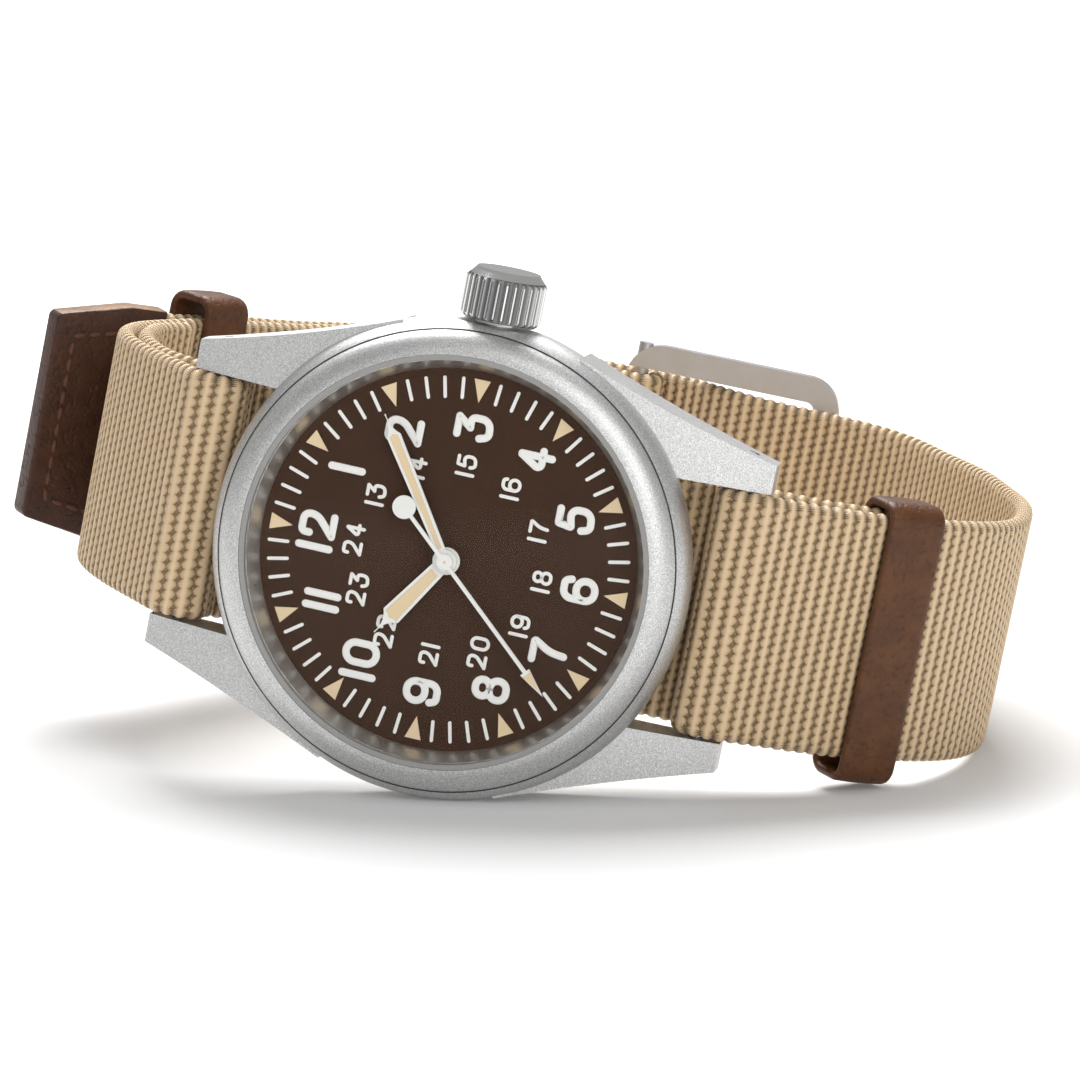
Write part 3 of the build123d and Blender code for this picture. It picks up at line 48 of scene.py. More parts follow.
# The watch's own axes, read from its joints: toward 3 o'clock, toward 12 o'clock, out of the dial
joints = {joint["name"]: joint for joint in frame["joints"]}
toward_three = Vector(joints["crown_turn"]["axis"])
outward = Vector(joints["minute_turn"]["axis"])
toward_twelve = outward.cross(toward_three)
hand_anchor = Vector(joints["minute_turn"]["pos_m"])
dial_rise = max((vertex.co - hand_anchor).dot(outward) for vertex in frame["nodes"]["dial"].data.vertices)
watch_turn = Matrix((toward_three, toward_twelve, outward)).transposed()
WATCH = Matrix.Translation(hand_anchor + outward * dial_rise) @ watch_turn.to_4x4() @ Matrix.Scale(MM, 4)


# Shader building
class Wire:
    """A node's output. Sums and products of wires become Math nodes."""

    def __init__(self, finish, socket):
        self.finish = finish
        self.socket = socket

    def calc(self, operation, *others):
        return self.finish.node("ShaderNodeMath", {"operation": operation}, dict(enumerate((self, *others))))

    def __add__(self, other):
        return self.calc("ADD", other)

    def __sub__(self, other):
        return self.calc("SUBTRACT", other)

    def __rsub__(self, other):
        return self.finish.node("ShaderNodeMath", {"operation": "SUBTRACT"}, {0: other, 1: self})

    def __mul__(self, other):
        return self.calc("MULTIPLY", other)

    def __truediv__(self, other):
        return self.calc("DIVIDE", other)

    __radd__ = __add__
    __rmul__ = __mul__

    def part(self, name):
        """Another output of the node that this wire leaves."""
        return Wire(self.finish, self.socket.node.outputs[name])

    def step(self, low, high):
        """0 below low, 1 above high, smooth between."""
        return self.finish.node(
            "ShaderNodeMapRange",
            {"interpolation_type": "SMOOTHSTEP", "clamp": True},
            {"Value": self, "From Min": low, "From Max": high},
        )


class Nodes:
    """A node tree that nodes are added to by one method."""

    def __init__(self, tree):
        self.tree = tree

    def feed(self, socket, value):
        """Give a socket a wire, a colour or another value."""
        if isinstance(value, Wire):
            self.tree.links.new(value.socket, socket)
        elif socket.type == "RGBA":
            socket.default_value = (*value, 1)
        else:
            socket.default_value = value

    def node(self, kind, settings=None, values=None):
        """Add a node with its settings and its sockets' values or wires. Gives its first output in use."""
        node = self.tree.nodes.new(kind)
        for name, value in (settings or {}).items():
            setattr(node, name, value)
        for name, value in (values or {}).items():
            self.feed(node.inputs[name], value)
        return Wire(self, next(socket for socket in node.outputs if socket.enabled))

    def seen_by(self, *rays):
        """1 for these kinds of ray, otherwise 0."""
        path = self.node("ShaderNodeLightPath")
        first, *others = [path.part(f"Is {ray} Ray") for ray in rays]
        return sum(others, first).calc("MINIMUM", 1.0)


class Finish(Nodes):
    """A material whose Principled shader takes fixed values and varying wires."""

    def __init__(self, name, **fixed):
        self.material = bpy.data.materials.new(name)
        self.material.use_nodes = True
        super().__init__(self.material.node_tree)
        self.shader = self.tree.nodes["Principled BSDF"]
        for socket, value in fixed.items():
            self.set(socket.replace("_", " ").title().replace("Ior", "IOR"), value)

    def set(self, socket, value):
        """Give one socket of the Principled shader a value or a wire."""
        self.feed(self.shader.inputs[socket], value)

    def place(self):
        """Object coordinates, in metres."""
        return self.node("ShaderNodeTexCoord").part("Object")

    def woven(self):
        """The piece's own UV map as two wires, in millimetres."""
        map_place = self.node("ShaderNodeTexCoord").part("UV")
        along = self.node("ShaderNodeSeparateXYZ", None, {"Vector": map_place})
        return along, along.part("Y")

    def noise(self, size, detail=2, rough=0.5, where=None):
        """Cloudy noise with grains of about this size in millimetres."""
        return self.node(
            "ShaderNodeTexNoise",
            {"noise_dimensions": "3D"},
            {"Vector": where or self.place(), "Scale": 1 / (size * MM), "Detail": detail, "Roughness": rough},
        )

    def mix(self, share, first, second):
        """Colour between two colours. The node's colours are its inputs 6 and 7."""
        return self.node("ShaderNodeMix", {"data_type": "RGBA"}, {0: share, 6: first, 7: second})

    def relief(self, height, depth, strength):
        """Bump of a depth in millimetres."""
        values = {"Height": height, "Distance": depth * MM, "Strength": strength}
        return self.node("ShaderNodeBump", None, values)

    def vector(self, operation, *vectors):
        """Vector maths."""
        return self.node("ShaderNodeVectorMath", {"operation": operation}, dict(enumerate(vectors)))


def blasted_steel():
    """Bead-blasted case steel: fine bright grains on soft grey."""
    finish = Finish("blasted_steel", metallic=1.0)
    grain = finish.noise(0.085, 2, 0.6)
    cloud = finish.noise(2.6, 2)
    speck = grain.step(0.32, 0.72)
    finish.set("Base Color", finish.mix(speck, (0.43, 0.43, 0.426), (0.80, 0.80, 0.793)))
    finish.set("Roughness", 0.36 + 0.10 * cloud + 0.08 * grain)
    finish.set("Normal", finish.relief(grain, 0.02, 0.55))
    return finish.material


def polished_steel(name="polished_steel", colour=(0.72, 0.72, 0.71), rough=0.13):
    """Polished steel with faint wiping marks."""
    finish = Finish(name, metallic=1.0)
    wipe = finish.noise(1.4, 3)
    finish.set("Base Color", finish.mix(wipe, tuple(0.9 * part for part in colour), colour))
    finish.set("Roughness", rough + 0.08 * wipe)
    finish.set("Normal", finish.relief(finish.noise(0.5), 0.004, 0.08))
    return finish.material


def fluted_steel(groove_radius=2.97, ridge_radius=3.16):
    """Polished steel with painted shade in the crown's flutes, between radii in millimetres from the crown's
    axis.
    """
    finish = Finish("crown_steel", metallic=1.0)
    arm = finish.vector("SUBTRACT", finish.place(), tuple(joints["crown_turn"]["pos_m"]))
    reach = finish.vector("LENGTH", finish.vector("CROSS_PRODUCT", arm, tuple(toward_three))) / MM
    below_ridge = 1 - reach.step(groove_radius + 0.02, ridge_radius)
    # Painted shade: the flutes between the ridges are coloured dark.
    flute_shade = reach.step(groove_radius - 0.05, groove_radius) * below_ridge
    finish.set("Base Color", finish.mix(flute_shade, (0.68, 0.68, 0.67), (0.16, 0.16, 0.16)))
    finish.set("Roughness", 0.15 + 0.2 * flute_shade)
    return finish.material


def grained_metal(name, colour, rough=0.28):
    """Movement metal with a fine straight grain."""
    finish = Finish(name, metallic=1.0)
    stretched = finish.node("ShaderNodeMapping", None, {"Vector": finish.place(), "Scale": (1.0, 1.0, 0.06)})
    grain = finish.noise(0.05, 3, 0.6, stretched)
    finish.set("Base Color", finish.mix(grain, tuple(0.75 * part for part in colour), colour))
    finish.set("Roughness", rough + 0.12 * grain)
    finish.set("Normal", finish.relief(grain, 0.006, 0.3))
    return finish.material


def dial_paint():
    """Matt dark brown dial paint with a fine tooth."""
    finish = Finish("dial_paint", specular_ior_level=0.12)
    tooth = finish.noise(0.16, 2)
    finish.set("Base Color", finish.mix(tooth, (0.049, 0.0240, 0.0140), (0.060, 0.0300, 0.0175)))
    finish.set("Roughness", 0.62 + 0.12 * tooth)
    finish.set("Normal", finish.relief(tooth, 0.01, 0.25))
    return finish.material


def print_paint(name, colour, rough=0.55):
    """Raised print: an even colour with a little mottling."""
    finish = Finish(name, specular_ior_level=0.3)
    mottle = finish.noise(0.3, 2)
    finish.set("Base Color", finish.mix(mottle, tuple(0.94 * part for part in colour), colour))
    finish.set("Roughness", rough + 0.1 * mottle)
    finish.set("Normal", finish.relief(mottle, 0.01, 0.2))
    return finish.material


def moulded(name, colour, rough=0.5):
    """Moulded rubber or plastic with a faint orange peel."""
    finish = Finish(name)
    peel = finish.noise(0.4, 2)
    finish.set("Base Color", finish.mix(peel, tuple(0.85 * part for part in colour), colour))
    finish.set("Roughness", rough + 0.15 * peel)
    finish.set("Normal", finish.relief(peel, 0.02, 0.2))
    return finish.material


def crystal_glass():
    """Clear domed crystal: see-through, with a thin reflection that grows at the rim."""
    finish = Finish("crystal_glass", roughness=0.02)
    sheen = finish.node("ShaderNodeFresnel", None, {"IOR": 1.35})
    clear = finish.node("ShaderNodeBsdfTransparent", None, {"Color": (0.99, 0.99, 0.985)})
    gloss = finish.node("ShaderNodeBsdfGlossy", None, {"Color": (1.0, 1.0, 1.0), "Roughness": 0.03})
    both = finish.node("ShaderNodeMixShader", None, {0: sheen * 0.12, 1: clear, 2: gloss})
    finish.feed(finish.tree.nodes["Material Output"].inputs["Surface"], both)
    return finish.material


def ruby():
    """Red jewel."""
    finish = Finish("ruby", roughness=0.08, transmission_weight=0.4, ior=1.7)
    cloud = finish.noise(0.4)
    finish.set("Base Color", finish.mix(cloud, (0.35, 0.01, 0.06), (0.65, 0.02, 0.12)))
    return finish.material


def woven_nylon():
    """Beige ribbed webbing: each yarn lies over one rib, between the yarns of the ribs beside it."""
    finish = Finish("woven_nylon", sheen_weight=0.04, sheen_roughness=0.4, specular_ior_level=0.55)
    along, across = finish.woven()
    rib = along / rib_pitch
    odd = rib.calc("FLOOR") * 0.5
    lean = (rib.calc("FRACT") - 0.5) * yarn_lean
    own = (across / yarn_pitch + odd + lean).calc("PINGPONG", 0.5) * 2
    reach = (rib.calc("FRACT") - 0.5).calc("ABSOLUTE")
    from_own = reach / (0.5 - 0.5 * yarn_bite + yarn_bite * own)
    from_next = (1 - reach) / (0.5 + 0.5 * yarn_bite - yarn_bite * own)
    nearest = from_own.calc("MINIMUM", from_next)
    beside = from_own.calc("LESS_THAN", from_next)
    crown = beside * own + (1 - beside) * (1 - own)
    gap = nearest.step(0.64, 1.0)
    split = (1 - crown.step(0.0, 0.30)) * nearest.step(0.30, 0.70)
    # Painted highlight: the middle of each rib is coloured paler.
    crest_highlight = 1 - nearest.step(0.05, 0.60)
    fibre = finish.noise(0.07, 2, 0.65)
    cloud = finish.noise(2.4, 3)
    light = finish.mix(fibre, (0.500, 0.340, 0.185), (0.700, 0.510, 0.300))
    shade = finish.mix(cloud, (0.235, 0.142, 0.060), (0.320, 0.205, 0.095))
    # Painted shade: the gaps and splits between the yarns take the darker shade colour.
    depth = (gap * 0.95 + split * 0.35).calc("MINIMUM", 1.0)
    body = finish.mix(crest_highlight * 0.55, light, (0.84, 0.64, 0.40))
    worn = finish.mix((cloud - 0.3) * 0.3, body, (0.46, 0.32, 0.18))
    finish.set("Base Color", finish.mix(depth, worn, shade))
    finish.set("Roughness", 0.30 + 0.20 * fibre + 0.35 * depth)
    height = (1 - nearest * nearest) - 0.3 * gap - 0.18 * split + 0.10 * fibre
    finish.set("Normal", finish.relief(height, 0.30, 0.9))
    return finish.material


def leather(name, deep, light, crease_shade_colour, pebble_size=0.34):
    """Pebbled brown leather: paler on its swells and dark in its creases, which is painted shade, waxed to a
    soft shine.
    """
    finish = Finish(name, specular_ior_level=0.36)
    warp = finish.noise(0.7, 2)
    where = finish.vector("ADD", finish.place(), warp * (0.25 * MM))
    cells = {"Vector": where, "Scale": 1 / (pebble_size * MM)}
    pebble = finish.node("ShaderNodeTexVoronoi", {"feature": "SMOOTH_F1"}, cells)
    crease = pebble.step(0.42, 0.80)
    cloud = finish.noise(1.9, 3, 0.6)
    fine = finish.noise(0.09, 2)
    body = finish.mix(cloud.step(0.32, 0.72), deep, light)
    # Painted shade: the creases between the pebbles take the darker crease colour.
    finish.set("Base Color", finish.mix(crease * 0.3, body, crease_shade_colour))
    finish.set("Roughness", 0.33 + 0.14 * cloud + 0.10 * fine + 0.15 * crease)
    height = 0.6 * (1 - crease) + 0.3 * cloud + 0.15 * fine
    finish.set("Normal", finish.relief(height, 0.10, 0.7))
    return finish.material


def sewing_thread():
    """Rust-brown twisted thread."""
    finish = Finish("sewing_thread")
    twist = finish.noise(0.12, 1)
    finish.set("Base Color", finish.mix(twist, (0.060, 0.021, 0.010), (0.150, 0.055, 0.025)))
    finish.set("Roughness", 0.6 + 0.2 * twist)
    finish.set("Normal", finish.relief(twist, 0.04, 0.5))
    return finish.material


# Strap sizes in millimetres, in the watch's own axes
strap_width = 19.6
strap_thickness = 1.3
rib_pitch = 1.0
rib_height = 0.14
yarn_pitch = 0.56
yarn_bite = 0.24
yarn_lean = 0.30
edge_lump = 0.22
edge_sway = 0.12
loop_reach = 41.3
loop_drop = 63.9
bar_reach = 21.3
bar_level = -4.45
ply_gap = 0.3
pass_level = -7.17
lower_pass_level = pass_level - ply_gap - strap_thickness
bar_wrap = 1.55
bar_fold = 1.5
band_slack = 0.7
buckle_bar_reach = -2.6
buckle_bar_level = -loop_drop


def loop_points(*shares):
    """Places on the strap's loop from shares of its reach and of its drop."""
    return [(loop_reach * reach, -loop_drop * drop) for reach, drop in shares]


def rounded(places, radii, per_arc=8, closed=False):
    """Line through places, each corner turned on a radius, or as widely as its runs allow."""
    points = [Vector(place) for place in places]
    count = len(points)
    line = [] if closed else [points[0]]
    for index, radius in zip(range(count) if closed else range(1, count - 1), radii):
        corner = points[index]
        before = points[index - 1] - corner
        after = points[(index + 1) % count] - corner
        room = 0.49 * min(before.length, after.length)
        turn = pi - before.angle(after)
        cut = room if radius is None else min(room, radius * tan(turn / 2))
        reach = cut * (1 - 4 / 3 * tan(turn / 4) / tan(turn / 2)) if turn > 0.01 else cut / 3
        arc = interpolate_bezier(
            corner + before.normalized() * cut,
            corner + before.normalized() * reach,
            corner + after.normalized() * reach,
            corner + after.normalized() * cut,
            per_arc,
        )
        line.extend(arc)
    line.extend([line[0].copy()] if closed else [points[-1]])
    return line


def measured(line):
    """Distance from the start of a line to each of its points."""
    reach = [0.0]
    for here, there in zip(line, line[1:]):
        reach.append(reach[-1] + (there - here).length)
    return reach


def strip(line, across, width, thickness, cells, rim_cells, relief, closed=False):
    """Mesh strip along a line: a grid wrapped round the strip's section, its UV in millimetres.

    The relief gives the step along the line, how many steps smooth each heading, the wave of both faces, the
    lumps of the rims, the sway to the side and the crown of a face.
    """
    reach = measured(line)
    total = reach[-1]
    along_cells = int(total / relief["step"])
    half_around = cells + rim_cells
    half_flat = (width - thickness) / 2
    stations = []
    knot = 0
    for cell in range(along_cells + 1):
        distance = total * cell / along_cells
        while knot < len(line) - 2 and reach[knot + 1] < distance:
            knot += 1
        step = line[knot + 1] - line[knot]
        share = (distance - reach[knot]) / max(reach[knot + 1] - reach[knot], 1e-9)
        stations.append((distance, line[knot] + step * share, step.normalized()))
    spread = range(-relief["smooth"], relief["smooth"] + 1)
    headings = []
    for cell in range(along_cells + 1):
        near = [cell + shift for shift in spread]
        near = [spot % along_cells if closed else min(max(spot, 0), along_cells) for spot in near]
        headings.append(sum((stations[spot][2] for spot in near), Vector()).normalized())
    mesh = bmesh.new()
    bmesh.ops.create_grid(mesh, x_segments=along_cells, y_segments=2 * half_around, size=0.5)
    uv_map = mesh.loops.layers.uv.new("UVMap")
    uv_places = {}
    for vertex in mesh.verts:
        cell = round((vertex.co.x + 0.5) * along_cells)
        spot = round((vertex.co.y + 0.5) * 2 * half_around)
        distance, centre, _ = stations[cell]
        normal = headings[cell].cross(across)
        height = thickness / 2 + relief["wave"](distance)
        # One half of the section is the top and one rim, the other half is the same turned over
        half, own_spot = divmod(spot, half_around)
        if own_spot <= cells:
            side, lift = half_flat * (1 - 2 * own_spot / cells), height
        else:
            turn = pi * (own_spot - cells) / rim_cells
            side = -half_flat - (thickness / 2 + relief["lump"](distance)) * sin(turn)
            lift = height * cos(turn)
        if half == 1:
            side, lift = -side, -lift
        side += relief["sway"](distance)
        vertex.co = centre + across * side + normal * (lift + relief["crown"](side, lift))
        uv_places[vertex] = (distance, spot * width / half_around)
    for face in mesh.faces:
        for loop in face.loops:
            loop[uv_map].uv = uv_places[loop.vert]
    bmesh.ops.remove_doubles(mesh, verts=mesh.verts, dist=1e-4)
    if not closed:
        bmesh.ops.holes_fill(mesh, edges=[edge for edge in mesh.edges if edge.is_boundary], sides=0)
    bmesh.ops.recalc_face_normals(mesh, faces=mesh.faces)
    return mesh


def settle(name, mesh, material, body="case", replaced=(), smooth=True):
    """Turn a bmesh in the watch's millimetres into a piece that rides on a body."""
    mesh.transform(WATCH)
    data = bpy.data.meshes.new(name)
    mesh.to_mesh(data)
    mesh.free()
    for face in data.polygons:
        face.use_smooth = smooth
    data.materials.append(material)
    piece = bpy.data.objects.new(name, data)
    bpy.context.scene.collection.objects.link(piece)
    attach(piece, body)
    if replaced:
        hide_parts(*replaced)
    return piece


def cut_through(piece, cutters):
    """Cut round and slotted holes, given in the watch's millimetres, out of a piece."""
    tools = bmesh.new()
    for place, heading, radius, stretch in cutters:
        drill = bmesh.ops.create_cone(
            tools, cap_ends=True, segments=24, radius1=radius, radius2=radius, depth=8 * strap_thickness
        )["verts"]
        for vertex in drill:
            vertex.co.y += stretch if vertex.co.y > 0 else -stretch
        turn = Vector((0, 0, 1)).rotation_difference(heading).to_matrix()
        bmesh.ops.transform(tools, matrix=Matrix.Translation(place) @ turn.to_4x4(), verts=drill)
    tools.transform(WATCH)
    data = bpy.data.meshes.new("hole_cutters")
    tools.to_mesh(data)
    tools.free()
    cutter = bpy.data.objects.new("hole_cutters", data)
    bpy.context.scene.collection.objects.link(cutter)
    modifier = piece.modifiers.new("holes", "BOOLEAN")
    modifier.operation = "DIFFERENCE"
    modifier.solver = "EXACT"
    modifier.object = cutter
    bpy.context.view_layer.update()
    cut = bpy.data.meshes.new_from_object(piece.evaluated_get(bpy.context.evaluated_depsgraph_get()))
    piece.modifiers.clear()
    cut.name = piece.name
    piece.data = cut
    bpy.data.objects.remove(cutter)


def rib_wave(distance, fullness=0.7, middle=0.6):
    """Height of a webbing rib over its own middle layer."""
    return rib_height * (abs(sin(pi * distance / rib_pitch)) ** fullness - middle)


def rib_lump(distance, middle=0.7):
    """Knotted edge of the webbing: one lump a rib."""
    return edge_lump * (abs(sin(pi * distance / rib_pitch)) - middle)


def slow_sway(distance, first_wave=9.0, second_wave=4.1):
    """Slight wander of the webbing to its sides."""
    return edge_sway * sin(distance / first_wave) * sin(distance / second_wave)


def flat(*place):
    """No relief."""
    return 0.0


steps_per_rib = 6
webbing_relief = {
    "step": rib_pitch / steps_per_rib,
    "smooth": 3,
    "wave": rib_wave,
    "lump": rib_lump,
    "sway": slow_sway,
    "crown": flat,
}
webbing_cells = (12, 6)
strap_across = Vector((1, 0, 0))
bar_turn = [
    (buckle_bar_reach - bar_fold, buckle_bar_level - bar_fold),
    (buckle_bar_reach - bar_fold, buckle_bar_level + bar_fold),
]
inner_run = loop_points(
    (0.170, 0.979), (0.363, 0.955), (0.765, 0.507), (0.818, 0.398), (0.802, 0.258), (0.683, 0.147),
)
twelve_turn = [
    (bar_reach + bar_wrap, bar_level + bar_wrap), (bar_reach - bar_wrap, bar_level + bar_wrap),
    (bar_reach - bar_wrap, pass_level),
]
six_turn = [(-reach, level) for reach, level in reversed(twelve_turn)]
outer_run = loop_points((-0.751, 0.125), (-0.918, 0.211), (-1.0, 0.344), (-0.988, 0.532), (-0.855, 0.767))
buckle_run = loop_points((-0.630, 0.991), (-0.278, 0.994), (-0.145, 1.0495))
tail_run = loop_points((0.218, 1.031), (0.303, 1.009), (0.397, 0.967), (0.7985, 0.5196), (0.8815, 0.4804))
hem_run = loop_points((0.193, 1.0065))
strap_run = [*hem_run, *bar_turn, *inner_run, *twelve_turn, *six_turn, *outer_run, *buckle_run, *tail_run]
strap_radii = [1.4, 1.4, *6 * [None], 1.8, *4 * [1.5], 1.8, *12 * [None]]
strap_line = rounded([(0, reach, level) for reach, level in strap_run], strap_radii, per_arc=14)
nylon = woven_nylon()
main_strap = settle(
    "woven_main_strap",
    strip(strap_line, strap_across, strap_width, strap_thickness, *webbing_cells, webbing_relief),
    nylon, replaced=("main_strap",),
)

# Three round holes in the outer run, and the slot that the buckle's tongue comes out of
hole_radius = 0.9
first_hole = 0.3
hole_spacing = 0.25
slot_radius = 1.4
slot_stretch = 2.3
hole_start = Vector((0, *outer_run[-1]))
hole_run = Vector((0, *buckle_run[0])) - hole_start
hole_heading = Vector((0, -hole_run.z, hole_run.y)).normalized()
hole_places = [hole_start + hole_run * (first_hole + hole_spacing * count) for count in range(3)]
tongue_exit = (buckle_run[1][0] + buckle_run[2][0]) / 2
holes = [(place, hole_heading, hole_radius, 0.0) for place in hole_places]
holes.append((Vector((0, tongue_exit, buckle_bar_level)), Vector((0, 0, 1)), slot_radius, slot_stretch))
cut_through(main_strap, holes)

under_run = [
    *loop_points((0.745, 0.463), (0.780, 0.394), (0.763, 0.272), (0.651, 0.166)),
    (bar_reach, lower_pass_level), (-bar_reach, lower_pass_level),
    *loop_points((-0.7216, 0.147), (-0.862, 0.2145)),
]
under_line = rounded([(0, reach, level) for reach, level in under_run], 6 * [None], per_arc=14)
settle(
    "woven_under_strap",
    strip(under_line, strap_across, strap_width, strap_thickness, *webbing_cells, webbing_relief),
    nylon, replaced=("under_strap",),
)

# Leather bands: a strip of leather closed round both plies
band_length = 5.0
band_thickness = 0.8
band_play = 0.26
band_corner_radius = 1.15
band_swell = 0.10
band_dip = 0.05
brown_leather = leather(
    "brown_leather", (0.078, 0.0262, 0.0062), (0.114, 0.0398, 0.0098), (0.036, 0.0112, 0.0028),
)
tip_leather = leather(
    "tip_leather", (0.040, 0.0130, 0.0056), (0.062, 0.0210, 0.0092), (0.018, 0.0058, 0.0028),
)


def band_crown(side, lift):
    """Outer face of a leather band: highest along its middle."""
    return (band_swell * (1 - (2 * side / band_length) ** 2) - band_dip) * (lift > 0)


band_relief = {"step": 0.35, "smooth": 1, "wave": flat, "lump": flat, "sway": flat, "crown": band_crown}


def leather_band(name, place, heading, shift, node):
    """Leather band round both plies, slid along the strap's width."""
    lengthwise = Vector((0, *heading)).normalized()
    upward = lengthwise.cross(strap_across)
    half_height = strap_thickness + ply_gap / 2 + band_play + band_thickness / 2
    half_width = strap_width / 2 + band_slack + band_thickness / 2
    centre = Vector((shift, *place))
    corners = [
        centre + strap_across * half_width * side + upward * half_height * level
        for side, level in ((1, 1), (-1, 1), (-1, -1), (1, -1))
    ]
    line = rounded(corners, 4 * [band_corner_radius], per_arc=9, closed=True)
    mesh = strip(line, lengthwise, band_length, band_thickness, 10, 6, band_relief, closed=True)
    return settle(name, mesh, brown_leather, replaced=(node,))


leather_band("leather_loop_band", loop_points((-0.8015, 0.1687))[0], (-0.793, -0.61), -0.45, "leather_loop")
leather_band("leather_keeper_band", loop_points((0.742, 0.559))[0], (0.502, 0.865), 0.6, "leather_keeper")

# Leather tip with its sewn line
tip_length = 9.7
tip_thickness = 2.4
tip_end_width = 17.4
tip_insert = 3.2
tip_corner_radius = 0.5
tip_edge_radius = 0.2
tip_rows = 3
half_root = strap_width / 2 + ply_gap
half_end = tip_end_width / 2
tip_from = Vector((0, *tail_run[-2]))
tip_to = Vector((0, *tail_run[-1]))
tip_along = (tip_to - tip_from).normalized()
tip_root = tip_to - tip_along * tip_insert
tip_face = strap_across.cross(tip_along)
TIP = Matrix.Translation(tip_root) @ Matrix((strap_across, tip_along, tip_face)).transposed().to_4x4()
tip_mesh = bmesh.new()
bmesh.ops.create_grid(tip_mesh, x_segments=1, y_segments=tip_rows, size=0.5)
for vertex in tip_mesh.verts:
    row = round((vertex.co.y + 0.5) * tip_rows)
    half_width = (half_root, half_root, (half_root + half_end) / 2, half_end)[row]
    side = half_width if vertex.co.x > 0 else -half_width
    vertex.co = Vector((side, tip_length * row / tip_rows, -tip_thickness / 2))
slab = bmesh.ops.extrude_face_region(tip_mesh, geom=tip_mesh.faces[:])["geom"]
raised = [item for item in slab if isinstance(item, bmesh.types.BMVert)]
bmesh.ops.translate(tip_mesh, verts=raised, vec=(0, 0, tip_thickness))


def at_end_corner(edge):
    """Whether an edge of the tip stands at one of its two end corners."""
    first, second = (vertex.co for vertex in edge.verts)
    return min(first.y, second.y) > 0.99 * tip_length and abs(first.x - second.x) < 0.1


def round_edges(mesh, edges, radius, segments):
    """Round some edges of a mesh."""
    bmesh.ops.bevel(
        mesh, geom=edges, offset=radius, segments=segments, profile=0.5, affect="EDGES", material=-1
    )


round_edges(tip_mesh, [edge for edge in tip_mesh.edges if at_end_corner(edge)], tip_corner_radius, 4)
bmesh.ops.recalc_face_normals(tip_mesh, faces=tip_mesh.faces)
for face in tip_mesh.faces:
    face.material_index = int(abs(face.normal.x) > 0.9)
sharp_edges = [edge for edge in tip_mesh.edges if len(edge.link_faces) == 2 and edge.calc_face_angle() > 0.8]
round_edges(tip_mesh, sharp_edges, tip_edge_radius, 3)
tip_mesh.transform(TIP)
cut_edge = leather("cut_leather_edge", (0.20, 0.115, 0.060), (0.34, 0.215, 0.125), (0.07, 0.032, 0.016))
leather_tip = settle("leather_tip_sleeve", tip_mesh, tip_leather, replaced=("leather_tip",))
leather_tip.data.materials.append(cut_edge)

stitch_pitch = 1.4
stitch_inset = 1.7
stitch_half_sizes = (0.62, 0.24, 0.20)
seam_start = 0.6
seam_corner_radius = 0.6
seam_side = half_root - stitch_inset
seam_end_side = half_end - stitch_inset
seam_end = tip_length - stitch_inset
seam_run = [
    (-seam_side, seam_start, 0), (-seam_end_side, seam_end, 0),
    (seam_end_side, seam_end, 0), (seam_side, seam_start, 0),
]
seam = rounded(seam_run, 2 * [seam_corner_radius], per_arc=4)
seam_reach = measured(seam)
stitches = bmesh.new()
for side in (1, -1):
    for count in range(int(seam_reach[-1] / stitch_pitch)):
        distance = (count + 0.5) * stitch_pitch
        knot = max(index for index, reach in enumerate(seam_reach[:-1]) if reach <= distance)
        step = (seam[knot + 1] - seam[knot]).normalized()
        spot = seam[knot] + step * (distance - seam_reach[knot])
        thread = bmesh.ops.create_uvsphere(stitches, u_segments=8, v_segments=5, radius=1)["verts"]
        turn = Matrix((step, Vector((-step.y, step.x, 0)), Vector((0, 0, 1)))).transposed().to_4x4()
        place = Matrix.Translation(spot + Vector((0, 0, side * tip_thickness / 2))) @ turn
        bmesh.ops.transform(stitches, matrix=place @ Matrix.Diagonal((*stitch_half_sizes, 1)), verts=thread)
stitches.transform(TIP)
settle("tip_stitches", stitches, sewing_thread())

# Dial numbers as round-ended strokes. Each stroke is a run of places in shares of the number's cell.
strokes = {
    "0": [("ring", [(0, 0), (1, 0), (1, 1), (0, 1)])],
    "1": [("open", [(0.5, 0), (0.5, 1)])],
    "2": [("open", [(0.02, 0.74), (0.02, 1), (0.98, 1), (0.98, 0.56), (0, 0), (1, 0)])],
    "3": [("open", [(0.04, 1), (0.94, 1), (0.45, 0.60), (1, 0.62), (1, 0), (0.14, -0.04), (0.0, 0.26)])],
    "4": [("open", [(0.66, 0.98), (0, 0.30), (1, 0.30)]), ("open", [(0.70, 0.98), (0.70, 0)])],
    "5": [("open", [(0.92, 1), (0.18, 1), (0.08, 0.58), (1, 0.70), (1, 0), (0.12, -0.04), (0.0, 0.24)])],
    "6": [
        ("open", [(0.96, 0.80), (0.86, 1), (0, 1), (0, 0.3)]),
        ("ring", [(0, 0), (1, 0), (1, 0.6), (0, 0.6)]),
    ],
    "7": [("open", [(0.0, 1), (1, 1), (0.5, 0.45), (0.42, 0)])],
    "8": [
        ("ring", [(0.08, 0.54), (0.92, 0.54), (0.92, 1), (0.08, 1)]),
        ("ring", [(0, 0), (1, 0), (1, 0.54), (0, 0.54)]),
    ],
    "9": [
        ("open", [(0.04, 0.20), (0.14, 0), (1, 0), (1, 0.7)]),
        ("ring", [(0, 0.4), (1, 0.4), (1, 1), (0, 1)]),
    ],
}
# Corner radii in shares of the stroke. Other corners turn as widely as their runs allow.
sharp_corners = {"2": {4: 0.0}, "3": {1: 0.0, 2: 0.0}, "4": {1: 0.5}, "5": {1: 0.1, 2: 0.1}, "7": {1: 0.15}}


